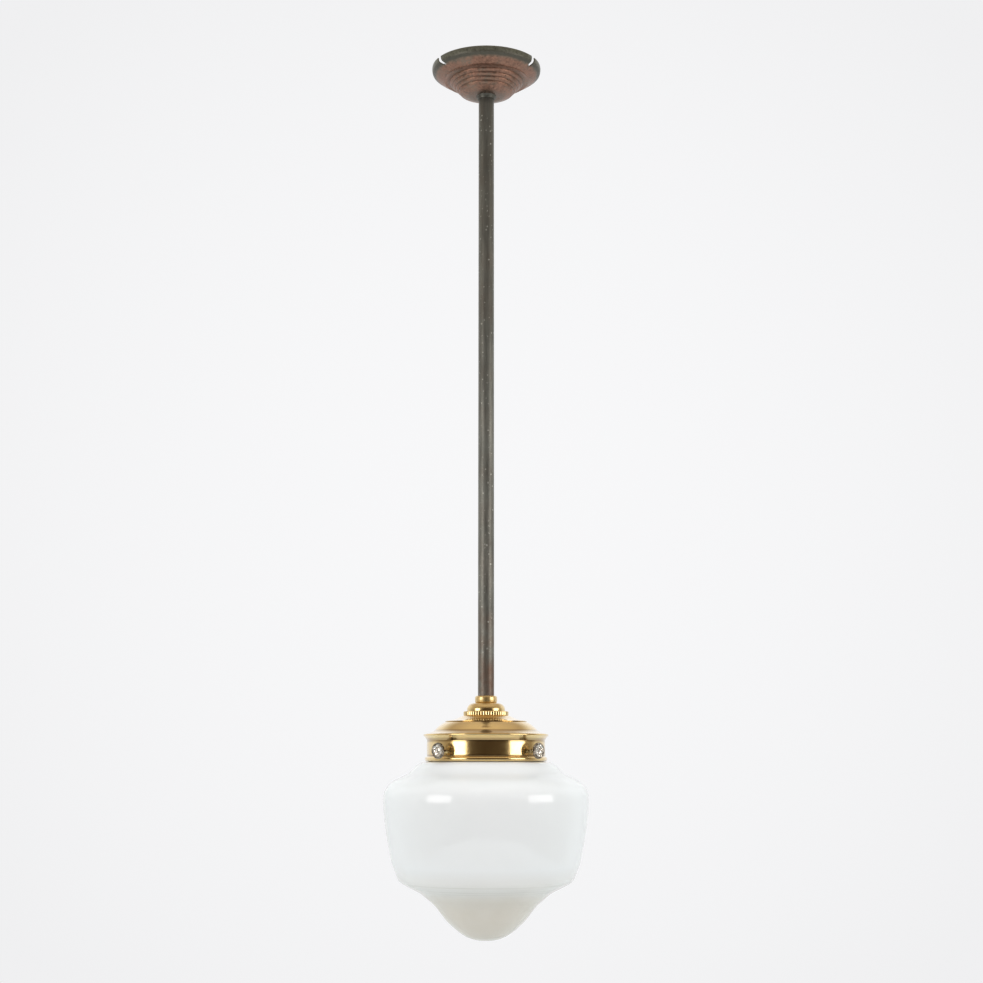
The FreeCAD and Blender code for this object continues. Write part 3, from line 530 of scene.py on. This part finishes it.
def aged_copper(colours):
    """Mottled, dusty copper with dirt in its hollows, a dark neck and a green-grey lip with painted shade along
    its lower edge.
    """
    finish = Finish("aged_copper")
    copper, dirt = tuple(colours.copper), tuple(colours.copper_dark)
    dust, neck_dirt, lip_shade_tone = (0.19, 0.165, 0.13), (0.095, 0.072, 0.052), (0.045, 0.036, 0.026)
    mottle = finish.noise(420.0, 5.0, 0.62)
    blotch = finish.noise(75.0, 3.0)
    worn = finish.mix(finish.span(mottle, 0.34, 0.66, 0.2, 1.0), dirt, copper)
    body = finish.mix(finish.span(blotch, 0.35, 0.7, 0.0, 0.4), worn, copper)
    body = finish.mix(finish.span(finish.relief(), -0.08, -0.34, 0.0, 0.5), body, dirt)
    dusty = finish.math("MULTIPLY", finish.span(finish.noise(48.0, 4.0), 0.42, 0.66),
                        finish.span(mottle, 0.6, 0.4, 0.2, 0.8))
    body = finish.mix(dusty, body, dust)
    height, neck = finish.height(), foot_of("ceiling_rose") * MM
    body = finish.mix(finish.span(height, neck + 0.8 * MM, neck, 0.0, 0.6), body, neck_dirt)
    ragged = finish.span(finish.noise(130.0, 4.0), 0.2, 0.8, -0.4 * MM, 0.4 * MM)
    level = finish.math("ADD", height, ragged)
    lip = finish.span(level, -8.3 * MM, -6.7 * MM)
    green = finish.mix(finish.span(mottle, 0.3, 0.7), scaled(colours.verdigris, 0.62),
                       scaled(colours.verdigris, 1.25))
    # Painted shade: a dark band low on the lip, where it turns under.
    lip_shade = finish.math("MULTIPLY", finish.span(level, -7.8 * MM, -6.8 * MM),
                       finish.span(level, -3.4 * MM, -5.6 * MM, 0.0, 0.7))
    green = finish.mix(lip_shade, green, lip_shade_tone)
    finish.set("Base Color", finish.mix(lip, body, green))
    finish.set("Metallic", finish.span(lip, 0.0, 1.0, 0.8, 0.35))
    finish.set("Roughness", finish.span(mottle, 0.3, 0.7, 0.26, 0.46))
    finish.bump(mottle, strength=0.7, distance=0.5 * MM)
    return finish.material


def aged_bronze(colours):
    """Bronze tube with long streaks, rubbed patches near its foot, pale specks, a darker top and a painted shadow
    under the rose.
    """
    finish = Finish("aged_bronze", Metallic=0.7)
    smoke, pale, rose_shadow_tone = (0.085, 0.072, 0.052), (0.56, 0.55, 0.49), (0.022, 0.020, 0.015)
    foot, collar = foot_of("rod") * MM, foot_of("rose_collar") * MM
    height = finish.height()
    streak = finish.noise(1.0, 4.0, 0.6, finish.stretched(300.0, 300.0, 28.0))
    grain = finish.noise(700.0, 4.0, 0.6)
    base = finish.mix(finish.span(streak, 0.32, 0.7), scaled(colours.bronze, 0.68),
                      scaled(colours.bronze, 1.35))
    base = finish.mix(finish.span(height, -320.0 * MM, -120.0 * MM, 0.0, 0.36), base, smoke)
    patch = finish.noise(42.0, 4.0, 0.6)
    low = finish.span(height, foot + 94.7 * MM, foot + 19.7 * MM, 0.12, 0.75)
    rubbed = finish.math("MULTIPLY", finish.span(patch, 0.42, 0.66), low)
    base = finish.mix(rubbed, base, tuple(colours.bronze_warm))
    specks = finish.node("ShaderNodeTexVoronoi", {"Vector": finish.place, "Scale": 260.0}).outputs["Distance"]
    speck = finish.math("MULTIPLY", finish.span(specks, 0.24, 0.14),
                        finish.span(grain, 0.50, 0.60, 0.0, 0.85))
    base = finish.mix(speck, base, pale)
    # Painted shadow of the rose over the collar and the top of the rod.
    base = finish.mix(finish.span(height, collar - 5.8 * MM, collar + 1.2 * MM, 0.0, 0.45), base, rose_shadow_tone)
    finish.set("Base Color", base)
    finish.set("Roughness", finish.span(grain, 0.3, 0.7, 0.38, 0.52))
    finish.bump(grain, strength=0.2, distance=0.3 * MM)
    return finish.material


def opal_glass(colours):
    """White opal glass, warmer and darker in the tip as tint and painted shade, with faint drawn rings at the hip
    and a wave in its gloss.
    """
    finish = Finish("opal_glass", Roughness=0.01, IOR=1.51, Subsurface_Weight=0.6, Subsurface_Scale=0.015,
                    Subsurface_Radius=(1.0, 1.0, 1.0))
    ring_tone = (0.55, 0.515, 0.46)
    level, tip = finish.height(), foot_of("glass_tip") * MM
    cloud = finish.span(finish.noise(24.0, 3.0), 0.3, 0.7, 0.85, 1.0)
    # Warmer and darker towards the tip: partly the glass's tint, partly painted shade where less light reaches the
    # underside.
    warm = finish.math("MULTIPLY", finish.span(level, tip + 57.1 * MM, tip + 31.1 * MM), cloud)
    base = finish.mix(warm, tuple(colours.opal), tuple(colours.opal_warm))
    uneven = finish.span(finish.noise(30.0, 2.0), 0.35, 0.65, 0.25, 0.5)
    for mark in HIP_RINGS:
        away = finish.math("ABSOLUTE", finish.math("SUBTRACT", level, tip + mark * MM))
        ring = finish.math("MULTIPLY", finish.span(away, HIP_RING_WIDTH * MM, 0.0), uneven)
        base = finish.mix(ring, base, ring_tone)
    finish.set("Base Color", base)
    finish.bump(finish.noise(16.0, 1.0), strength=0.03, distance=2.0 * MM)
    return finish.material


def plain_finish(slot, metal, rough, lamp_glass=False):
    """A plain procedural finish in a slot's own colour, for pieces that hardly show."""
    entry = next(m for m in frame["record"]["materials"] if m["slot"] == slot)
    base = tuple(entry["base_color"][:3])
    finish = Finish(slot, Metallic=metal)
    cloud = finish.noise(90.0, 4.0)
    finish.set("Base Color", finish.mix(finish.span(cloud, 0.3, 0.7), scaled(base, 0.8), base))
    finish.set("Roughness", finish.span(cloud, 0.3, 0.7, rough * 0.8, min(rough * 1.25, 1.0)))
    if lamp_glass:
        finish.set("Transmission Weight", 0.9)
    finish.bump(finish.noise(600.0, 2.0), strength=0.08, distance=0.2 * MM)
    return finish.material


# Share of metal and roughness for each slot that hardly shows
HIDDEN_FINISHES = {
    "galvanised_steel": (0.9, 0.4), "plain_brass": (1.0, 0.3), "screw_steel": (1.0, 0.35),
    "porcelain": (0.0, 0.15), "terminal_plastic": (0.0, 0.45), "flex_sheath": (0.0, 0.6),
    "brown_insulation": (0.0, 0.5), "blue_insulation": (0.0, 0.5), "green_insulation": (0.0, 0.5),
    "lamp_cap_metal": (1.0, 0.35), "lamp_contact_metal": (1.0, 0.4), "lamp_insulator": (0.0, 0.2),
    "lamp_glass": (0.0, 0.05), "filament": (1.0, 0.4),
}
SHOWN_FINISHES = {"polished_brass": polished_brass, "nickel": polished_nickel, "copper": aged_copper,
                  "aged_bronze": aged_bronze, "opal_glass": opal_glass}


def material(maker):
    """The finish that a maker function gives, made once."""
    made = bpy.data.materials.get("finish_" + maker.__name__)
    return made or maker(bpy.context.scene.pendant_colours)


# Operators

class PENDANT_OT_glass_shade(bpy.types.Operator):
    """Opal glass shade: lipped neck, rounded collar, shoulder, tapering body and acorn tip."""
    bl_idname = "pendant.glass_shade"
    bl_label = "Glass Shade"

    def execute(self, context):
        sizes = context.scene.pendant_sizes
        wall, wide = sizes.shade_wall / MM, sizes.shade_radius / MM
        rim = foot_of("gallery")
        tip = foot_of(GLASS_NODES[-1])
        lip_top, lip_radius = top_of(GLASS_NODES[0]), 41.2
        neck, collar, widest = (39.5, rim + 5.85), (56.7, rim - 5.75), (wide, rim - 30.25)
        hip, acorn = (67.2, rim - 90.45), (46.7, rim - 103.15)
        corners = [neck, collar, widest, hip, acorn, (0.0, tip)]
        # From each corner to the next, as shares across and down
        curves = [
            [(0.0, 0.0), (0.05, 0.24), (0.2, 0.472), (0.49, 0.54), (0.86, 0.78)],
            [(0.0, 0.0), (0.14, 0.13), (0.385, 0.25), (0.645, 0.37), (0.835, 0.51), (0.957, 0.69)],
            [(0.0, 0.0), (0.065, 0.2), (0.205, 0.41), (0.378, 0.61), (0.61, 0.81), (0.795, 0.91)],
            [(0.0, 0.0), (0.26, 0.3), (0.53, 0.52), (0.79, 0.74)],
            [(0.0, 0.0), (0.14, 0.17), (0.245, 0.35), (0.355, 0.54), (0.495, 0.726), (0.67, 0.9), (1.0, 1.0)],
        ]
        knots = np.concatenate([between(a, b, c) for a, b, c in zip(corners, corners[1:], curves)])
        outer = smooth_curve(knots, (0, -1), (-1, 0))
        inner = outer - outward(outer, False) * wall
        inner[-1] = (0.0, tip + wall)
        lip = [(neck[0] - wall, lip_top), (lip_radius - 0.6, lip_top), (lip_radius, lip_top - 0.5),
               (lip_radius, lip_top - 3.7), (neck[0], lip_top - 4.5)]
        outline, relief = turned_outline([inner[::-1], lip, outer], count=220, soft=0.25, closed=False)
        outline[0, 0] = outline[-1, 0] = 0.0
        outline[:, 1] = np.maximum(outline[:, 1], tip)
        piece = lathe("shade_glass", outline, relief, sizes.round_steps, closed=False)
        dress(piece, "fixture", "opal_glass", material(opal_glass), *GLASS_NODES)
        return {"FINISHED"}


class PENDANT_OT_gallery(bpy.types.Operator):
    """Brass gallery: flat top, cove, sharp edge, dome, flared rim, band and beaded foot."""
    bl_idname = "pendant.gallery"
    bl_label = "Gallery"

    def execute(self, context):
        sizes = context.scene.pendant_sizes
        top = top_of("gallery")
        band, wall = sizes.gallery_band_radius / MM, sizes.gallery_wall / MM
        bore, flat = 12.65, 18.8
        cove, under, dome = (32.3, -4.1), (31.9, -4.65), (40.4, -11.3)
        roll, notch = (48.05, -14.05), (48.2, -14.5)
        rim_top, rim_foot = (48.75, -14.22), (48.75, -15.58)
        band_top, groove, groove_depth = -19.0, -30.75, 0.25
        bead, foot = groove - 2 * groove_depth, (46.8, foot_of("gallery") - top)
        inner_dome, inner_under, inner_flat = (39.8, -12.5), (31.1, -5.55), (18.3, -wall)
        line = [
            [(bore, 0.0), (flat, 0.0)], bow((flat, 0.0), cove, -0.65), [under],
            bow(under, dome, 0.6), bow(dome, roll, -0.55), [notch], bow(rim_top, rim_foot, 0.25),
            bow(rim_foot, (band, band_top), -0.2),
            [(band, groove), (band - groove_depth, groove - groove_depth), (band, bead)],
            bow((band, bead), foot, 1.3), [(band - wall, foot[1])],
            bow((band - wall, rim_foot[1]), inner_dome, 0.55), bow(inner_dome, inner_under, -0.6),
            bow(inner_under, inner_flat, 0.65), [(bore, -wall)],
        ]
        line = [np.add(part, (0.0, top)) for part in line]
        piece = turned_ring("gallery_brass", line, count=300, steps=sizes.round_steps, soft=0.13)
        dress(piece, "fixture", "polished_brass", material(polished_brass), "gallery")
        return {"FINISHED"}


class PENDANT_OT_gallery_screws(bpy.types.Operator):
    """Gallery screws: a plain shank and a knurled, dished head at each of four places."""
    bl_idname = "pendant.gallery_screws"
    bl_label = "Gallery Screws"

    def execute(self, context):
        for number in range(1, 5):
            joint = next(entry for entry in frame["joints"] if entry["name"] == "screw_%d_turn" % number)
            self.head(context.scene.pendant_sizes, joint, number)
            self.shank(joint, number)
        return {"FINISHED"}

    def head(self, sizes, joint, number):
        """A screw's head. Places along the screw are in mm from the light's axis."""
        node = "gallery_screw_head_%d" % number
        radius = sizes.head_radius / MM
        hole, bevel, border = 0.9, 0.35, 1.0
        back, hollow, dish, crown = 52.85, 53.7, 54.2, 55.0
        line = [[(hole, back), (radius - bevel, back), (radius, back + bevel), (radius, dish)],
                [(radius - bevel, crown)], bow((radius - border, crown), (0.0, dish), 0.3),
                [(0.0, hollow), (hole, hollow)]]
        outline, relief = turned_outline(line, count=46, soft=0.1)
        knurl_depth, knurl_width, fade = 0.3, 0.5, 0.35
        edge = np.clip((outline[:, 0] - radius + knurl_width) / fade, 0, 1)
        piece = ribbed_ring(node + "_nickel", outline, relief - knurl_depth * edge, sizes.head_ribs,
                            knurl_depth, edge, steps_per_rib=6)
        self.lay(piece, joint)
        dress(piece, "screw_head_%d" % number, "nickel", material(polished_nickel), node)

    def shank(self, joint, number):
        """A screw's shank, measured as its head is."""
        node = "gallery_screw_shank_%d" % number
        centre, radius, bevel, point, head = 0.02, 2.0, 0.4, 39.9, 52.8
        line = [[(centre, point), (radius - bevel, point), (radius, point + bevel), (radius, head),
                 (centre, head)]]
        piece = turned_ring(node + "_nickel", line, count=24, steps=216, soft=0.1)
        self.lay(piece, joint)
        dress(piece, "screw_shank_%d" % number, "nickel", material(polished_nickel), node)

    def lay(self, piece, joint):
        """Lays a piece that was turned about Z along the screw: its x runs across, its y up and its z out."""
        out = np.array(joint["axis"], float)
        axes = np.array([[-out[1], out[0], 0.0], [0.0, 0.0, 1.0], out])
        points = np.zeros(len(piece.data.vertices) * 3)
        piece.data.vertices.foreach_get("co", points)
        points = points.reshape(-1, 3) @ axes + (0.0, 0.0, joint["pos_m"][2])
        piece.data.vertices.foreach_set("co", points.reshape(-1))
        piece.data.update()


class PENDANT_OT_lampholder_cap(bpy.types.Operator):
    """Brass bead at the rod's foot, domed lampholder cap and ribbed shade ring."""
    bl_idname = "pendant.lampholder_cap"
    bl_label = "Lampholder Cap"

    def execute(self, context):
        brass = material(polished_brass)
        self.bead(brass)
        self.cap(brass)
        self.ring(brass, context.scene.pendant_sizes.ring_ribs)
        return {"FINISHED"}

    def bead(self, brass):
        """The bead, in which the rod's foot sits."""
        top, foot = top_of("rod_ferrule"), foot_of("rod_ferrule")
        rod_bore, neck, bulge, shoulder = 6.4, 7.15, 8.65, 1.5
        rod_seat = top - 4.0
        line = [[(rod_bore, top), (neck, top)], bow((neck, top), (bulge, top - shoulder), 0.5),
                bow((bulge, top - shoulder), (bulge, foot + shoulder), 0.12),
                bow((bulge, foot + shoulder), (neck, foot), 0.5),
                [(WIRE_BORE, foot), (WIRE_BORE, rod_seat), (rod_bore, rod_seat)]]
        piece = turned_ring("ferrule_brass", line, count=70, steps=160)
        dress(piece, "fixture", "polished_brass", brass, "rod_ferrule")

    def cap(self, brass):
        """The dome over the lampholder, with a spigot down through the shade ring."""
        top, foot = top_of("lampholder_cap"), foot_of("lampholder_cap")
        crown, brim, spigot, bore = 8.8, 15.0, 13.6, 12.6
        skirt, brim_foot, inner_top = top - 4.6, top_of("upper_shade_ring") + 0.05, top - 1.0
        dome = 1.65
        line = [[(WIRE_BORE, top), (crown, top)], bow((crown, top), (brim, skirt), dome),
                [(brim, brim_foot), (spigot, brim_foot), (spigot, foot), (bore, foot)],
                bow((bore, skirt), (crown - 0.5, inner_top), -dome), [(WIRE_BORE, inner_top)]]
        piece = turned_ring("lampholder_cap_brass", line, count=90, steps=192)
        dress(piece, "fixture", "polished_brass", brass, "lampholder_cap")

    def ring(self, brass, ribs):
        """The shade ring under the dome, ribbed round its edge."""
        top, foot = top_of("upper_shade_ring"), foot_of("upper_shade_ring")
        outer, bore = half_width("upper_shade_ring") / MM, 13.65
        top_bevel, foot_bevel = 0.45, 0.35
        line = [[(bore, top), (outer - top_bevel, top), (outer, top - top_bevel), (outer, foot + foot_bevel),
                 (outer - foot_bevel, foot), (bore, foot)]]
        outline, relief = turned_outline(line, count=48, soft=0.08)
        rib_depth, rib_width, fade = 0.35, 0.75, 0.4
        edge = np.clip((outline[:, 0] - outer + rib_width) / fade, 0, 1)
        piece = ribbed_ring("shade_ring_brass", outline, relief, ribs, rib_depth, edge)
        dress(piece, "fixture", "polished_brass", brass, "upper_shade_ring")


class PENDANT_OT_rod(bpy.types.Operator):
    """Hanging rod of dark bronze tube."""
    bl_idname = "pendant.rod"
    bl_label = "Rod"

    def execute(self, context):
        top, foot = top_of("rod"), foot_of("rod")
        radius = context.scene.pendant_sizes.rod_radius / MM
        bore = radius - 1.2
        top_bevel, foot_bevel, cuts = 0.4, 0.2, 60
        levels = np.linspace(top - top_bevel, foot + foot_bevel, cuts)
        outline = np.concatenate([[(bore, top), (radius - top_bevel, top)],
                                  np.column_stack([np.full(cuts, radius), levels]),
                                  [(radius - foot_bevel, foot), (bore, foot)]])
        piece = lathe("rod_bronze", outline, np.zeros(len(outline)), steps=96)
        dress(piece, "fixture", "aged_bronze", material(aged_bronze), "rod")
        return {"FINISHED"}


def half_turn(degrees):
    """Angles carried into the half turn to either side of zero."""
    return (degrees + 180) % 360 - 180


class PENDANT_OT_rose(bpy.types.Operator):
    """Copper ceiling rose with its slotted lip and ridged cone, and the collar under it."""
    bl_idname = "pendant.rose"
    bl_label = "Ceiling Rose"

    def execute(self, context):
        sizes = context.scene.pendant_sizes
        self.bowl(sizes)
        self.collar(sizes)
        return {"FINISHED"}

    def bowl(self, sizes):
        """The spun copper: an outer line, a smoother line one wall inside it, and slots through both."""
        rim, wall = sizes.rose_radius / MM, sizes.rose_wall / MM
        top, neck = top_of("ceiling_rose"), (8.1, foot_of("ceiling_rose"))
        lip_top, lip_foot = (rim, top - 0.5), (rim - 0.5, -5.3)
        step_top, step_foot = (35.0, -11.2), (35.0, -11.9)
        ridge_top, ridge_foot = np.array([30.5, -12.4]), np.array([20.2, -23.0])
        marks = between(ridge_top, ridge_foot, np.linspace(0, 1, sizes.rose_ridges + 1)[:, None])
        line = [[(rim - 0.35, top), (rim - 0.08, top - 0.2)], bow(lip_top, lip_foot, 0.35),
                bow(lip_foot, step_top, 0.4), [step_foot], bow(step_foot, ridge_top, -0.5)]
        line += [bow(a, b, 0.75) for a, b in zip(marks, marks[1:])]
        line += [bow(ridge_foot, neck, 0.9)]
        outline, relief = turned_outline(line, count=190, closed=False)
        run = run_along(outline)
        fine_step, softness = 0.1, 12.0
        smooth = blurred(spread(outline, fine_step), softness, False)
        inner = smooth - outward(smooth, False) * wall
        inner = read_at(run, np.linspace(0, run[-1], len(inner)), inner)
        inner[:, 1] = np.minimum(inner[:, 1], top)
        turns, keep = self.slots(sizes, run)
        outside, inside = carried_round(outline, turns), carried_round(inner, turns)
        piece = cut_shell("rose_copper", outside, inside, relief, keep)
        dress(piece, "rose", "copper", material(aged_copper), "ceiling_rose")

    def slots(self, sizes, run):
        """The turns of the bowl's grid, bent along the slots, and its cells that lie outside them."""
        depth, reach, taper, nearest = 9.2, 9.0, 0.35, 0.5
        half_slot = math.degrees(sizes.rose_slot_width / 2 / sizes.rose_radius)
        edges = np.array([start + side * half_slot for start, _ in ROSE_SLOTS for side in (-1, 1)]) % 360
        even = np.linspace(0, 360, sizes.round_steps, endpoint=False)
        gap = np.abs(half_turn(even[:, None] - edges[None, :])).min(axis=1)
        columns = np.sort(np.concatenate([even[gap > nearest], edges]))
        middles = columns + (np.roll(columns, -1) - columns) % 360 / 2
        # The bend grows down to the slot's end and dies away over two more depths
        bend = np.clip(run / depth, 0, 1) ** 1.5 * np.clip(3.0 - run / depth, 0, 2) / 2
        turns = np.repeat(columns[:, None], len(run), axis=1)
        keep = np.ones((len(columns), len(run) - 1), bool)
        in_lip = (run[1:] + run[:-1]) / 2 < depth
        for start, lean in ROSE_SLOTS:
            away = half_turn(columns - start)
            near = np.exp(-0.5 * (away / reach) ** 2)
            turns += (near * (lean - taper * away))[:, None] * bend[None, :]
            inside = np.abs(half_turn(middles - start)) < half_slot
            keep &= ~(inside[:, None] & in_lip[None, :])
        return np.radians(turns), keep

    def collar(self, sizes):
        """The small ring under the bowl, waisted towards its foot."""
        top, shoulder, foot = top_of("rose_collar"), foot_of("ceiling_rose"), foot_of("rose_collar")
        bore = sizes.rod_radius / MM + 0.06
        spigot, flange, waist = bore + 1.6, bore + 2.0, bore + 0.5
        line = [[(bore, top), (spigot, top), (spigot, shoulder), (flange, shoulder)],
                bow((flange, shoulder), (waist, foot), -0.15), [(bore, foot)]]
        piece = turned_ring("rose_collar_bronze", line, count=60, steps=128)
        dress(piece, "rose", "aged_bronze", material(aged_bronze), "rose_collar")


class PENDANT_OT_inner_parts(bpy.types.Operator):
    """Finishes for the CAD pieces inside the rose, the rod, the lampholder and the shade."""
    bl_idname = "pendant.inner_parts"
    bl_label = "Inner Parts"

    def execute(self, context):
        slots = {part["node"]: part["material_slot"] for part in frame["record"]["subparts"]}
        made = {slot: plain_finish(slot, metal, rough, slot == "lamp_glass")
                for slot, (metal, rough) in HIDDEN_FINISHES.items()}
        made.update({slot: material(maker) for slot, maker in SHOWN_FINISHES.items()})
        for name, node in frame["nodes"].items():
            node.data.materials.clear()
            node.data.materials.append(made[slots[name]])
        return {"FINISHED"}


class PENDANT_OT_plunger_springs(bpy.types.Operator):
    """Two coiled springs behind the lampholder's plungers."""
    bl_idname = "pendant.plunger_springs"
    bl_label = "Plunger Springs"

    def execute(self, context):
        node = "contact_springs"
        slot = next(part["material_slot"] for part in frame["record"]["subparts"] if part["node"] == node)
        low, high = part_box(node)
        radius = (high.y - low.y) / 2
        wire, turns, pressed = 0.18 * MM, 4, 1.05 * MM
        left, faces = coil(low.x + radius, radius - wire, wire, low.z, high.z, turns)
        right, more = coil(high.x - radius, radius - wire, wire, low.z, high.z, turns)
        faces += [[corner + len(left) for corner in face] for face in more]
        piece = add_piece("plunger_springs_wire", np.concatenate([left, right]), faces)
        dress(piece, "fixture", slot, bpy.data.materials["finish_" + slot], node)
        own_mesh(piece)
        return {"FINISHED"}


# The photograph's camera: width and focal length in pixels, place in metres, upward tilt in degrees
PHOTO_PIXELS = 983
FOCUS_PIXELS = 1650.0
CAMERA_PLACE = (0.0043, -1.303, -0.5703)
CAMERA_TILT = 9.24
# Softboxes: azimuth from the camera's side and elevation in degrees, width and height in metres, radiance
SOFTBOXES = {
    "softbox_left": (-51.8, 9.0, 0.69, 0.56, 4.2),
    "softbox_right": (62.5, 9.0, 0.78, 0.56, 3.8),
}
SOFTBOX_TARGET = np.array([0.0, 0.0, -0.57])
SOFTBOX_DISTANCE = 1.4
SOFTBOX_COLOUR = (1.0, 0.975, 0.955)
# The studio as metal and glass show it, by the turn from behind through the left, front and right
ROOM_ROUND = [
    (0.0, (0.98, 0.98, 0.99)), (0.17, (0.88, 0.88, 0.87)), (0.21, (0.60, 0.58, 0.55)),
    (0.27, (0.39, 0.335, 0.265)), (0.30, (0.32, 0.265, 0.195)), (0.39, (0.075, 0.055, 0.038)),
    (0.5, (0.062, 0.045, 0.031)), (0.61, (0.075, 0.055, 0.038)), (0.70, (0.29, 0.24, 0.175)),
    (0.775, (0.31, 0.26, 0.195)), (0.82, (0.86, 0.86, 0.85)), (1.0, (0.98, 0.98, 0.99)),
]
# The same overhead, and the even light on matt surfaces, both from straight down at 0 to straight up at 1
ROOM_ABOVE = [(0.86, (0.48, 0.40, 0.31)), (1.0, (0.74, 0.64, 0.52))]
SOFT_LIGHT = [(0.0, (0.42, 0.40, 0.37)), (0.5, (0.93, 0.95, 0.955)), (1.0, (1.38, 1.40, 1.40))]
# The tone of that even light, by the turn: faintly warm from the front and cool from the sides and behind
SOFT_ROUND = [(0.0, (0.92, 1.02, 1.05)), (0.28, (0.92, 1.02, 1.05)), (0.5, (1.07, 1.0, 0.98)),
              (0.72, (0.92, 1.02, 1.05)), (1.0, (0.92, 1.02, 1.05))]
# The backdrop's brightest way from the camera, the cosine from there to its corners, and their brightness
BACKDROP_WAY = (0.0, 0.987, 0.16)
CORNER_COSINE = 0.93
CORNER_BRIGHTNESS = 0.93


class PENDANT_OT_stage(bpy.types.Operator):
    """Camera at the photograph's angle, two softboxes, a pale studio and a floor."""
    bl_idname = "pendant.stage"
    bl_label = "Stage"

    def execute(self, context):
        scene = context.scene
        scene.view_settings.view_transform = "Standard"
        self.camera(scene)
        self.lights(scene)
        self.studio(scene)
        self.floor(scene)
        return {"FINISHED"}

    def camera(self, scene):
        data = bpy.data.cameras.new("photo_camera")
        data.sensor_width = 36.0
        data.lens = FOCUS_PIXELS / PHOTO_PIXELS * data.sensor_width
        camera = bpy.data.objects.new("photo_camera", data)
        camera.location = CAMERA_PLACE
        camera.rotation_euler = (math.radians(90 + CAMERA_TILT), 0.0, 0.0)
        scene.collection.objects.link(camera)
        scene.camera = camera

    def lights(self, scene):
        """Softboxes that face their target; a box's energy is its radiance times pi times its area."""
        for name, (azimuth, elevation, width, height, radiance) in SOFTBOXES.items():
            data = bpy.data.lights.new(name, "AREA")
            data.shape = "RECTANGLE"
            data.size, data.size_y = width, height
            data.energy = radiance * math.pi * width * height
            data.color = SOFTBOX_COLOUR
            lamp = bpy.data.objects.new(name, data)
            a, e = math.radians(azimuth), math.radians(elevation)
            way = np.array([math.sin(a) * math.cos(e), -math.cos(a) * math.cos(e), math.sin(e)])
            lamp.location = SOFTBOX_TARGET + way * SOFTBOX_DISTANCE
            lamp.rotation_euler = (math.pi / 2 - e, 0.0, a)
            scene.collection.objects.link(lamp)

    def studio(self, scene):
        """The room that metal and glass show, the even light on matt surfaces, and the camera's backdrop."""
        bright = tuple(scene.pendant_colours.backdrop)
        world = bpy.data.worlds.new("studio")
        world.use_nodes = True
        scene.world = world
        nodes = Nodes(world.node_tree)
        way = nodes.node("ShaderNodeTexCoord").outputs["Generated"]
        parts = nodes.node("ShaderNodeSeparateXYZ", {0: way}).outputs
        rays = nodes.node("ShaderNodeLightPath").outputs
        turn = nodes.math("ARCTAN2", parts["X"], nodes.math("MULTIPLY", parts["Y"], -1.0))
        place = nodes.math("MULTIPLY_ADD", turn, 0.5 / math.pi, 0.5)
        level = nodes.math("MULTIPLY_ADD", parts["Z"], 0.5, 0.5)
        # The room round about is a little brighter above the horizon
        lift = nodes.span(level, 0.53, 0.62, 0.92, 1.06)
        around = nodes.vector("SCALE", {0: nodes.ramp(place, ROOM_ROUND), "Scale": lift})["Vector"]
        room = nodes.mix(nodes.span(level, 0.74, 0.86), around, nodes.ramp(level, ROOM_ABOVE))
        tone = nodes.ramp(place, SOFT_ROUND)
        soft = nodes.vector("MULTIPLY", {0: nodes.ramp(level, SOFT_LIGHT), 1: tone})["Vector"]
        room = nodes.mix(rays["Is Diffuse Ray"], room, soft)
        ahead = nodes.vector("DOT_PRODUCT", {0: way, 1: BACKDROP_WAY})["Value"]
        backdrop = nodes.ramp(ahead, [(CORNER_COSINE, scaled(bright, CORNER_BRIGHTNESS)), (1.0, bright)])
        room = nodes.mix(rays["Is Camera Ray"], room, backdrop)
        nodes.put(world.node_tree.nodes["Background"].inputs["Color"], room)

    def floor(self, scene):
        """A flat round of floor, two metres below the ceiling."""
        reach, level, steps = 3.5, -2.0, 128
        turns = np.linspace(0, 2 * math.pi, steps, endpoint=False)
        rim = np.column_stack([reach * np.cos(turns), reach * np.sin(turns), np.full(steps, level)])
        mesh = bpy.data.meshes.new("studio_floor")
        mesh.from_pydata(rim, [], [tuple(range(steps))])
        floor = bpy.data.objects.new("studio_floor", mesh)
        scene.collection.objects.link(floor)
        finish = Finish("pale_floor", Roughness=0.9)
        cloud = finish.noise(3.0, 3.0)
        finish.set("Base Color", finish.mix(cloud, (0.72, 0.718, 0.712), (0.75, 0.748, 0.742)))
        mesh.materials.append(finish.material)


class PENDANT_PT_build(bpy.types.Panel):
    """Lists the steps that build the pendant light, and its sizes and colours."""
    bl_idname = "PENDANT_PT_build"
    bl_label = "Pendant Light"
    bl_space_type = "VIEW_3D"
    bl_region_type = "UI"
    bl_category = "Pendant"

    def draw(self, context):
        for step in STEPS:
            self.layout.operator(step.bl_idname)
        for group in (context.scene.pendant_sizes, context.scene.pendant_colours):
            box = self.layout.box()
            for name in group.__annotations__:
                box.prop(group, name)


STEPS = (PENDANT_OT_stage, PENDANT_OT_inner_parts, PENDANT_OT_plunger_springs, PENDANT_OT_rose,
         PENDANT_OT_rod, PENDANT_OT_lampholder_cap, PENDANT_OT_gallery, PENDANT_OT_gallery_screws,
         PENDANT_OT_glass_shade)
CLASSES = (PendantSizes, PendantColours) + STEPS + (PENDANT_PT_build,)


def register():
    for cls in CLASSES:
        bpy.utils.register_class(cls)
    bpy.types.Scene.pendant_sizes = PointerProperty(type=PendantSizes)
    bpy.types.Scene.pendant_colours = PointerProperty(type=PendantColours)


def unregister():
    del bpy.types.Scene.pendant_colours
    del bpy.types.Scene.pendant_sizes
    for cls in reversed(CLASSES):
        bpy.utils.unregister_class(cls)


def main():
    register()
    for step in STEPS:
        group, name = step.bl_idname.split(".")
        getattr(getattr(bpy.ops, group), name)()


if __name__ == "__main__":
    main()
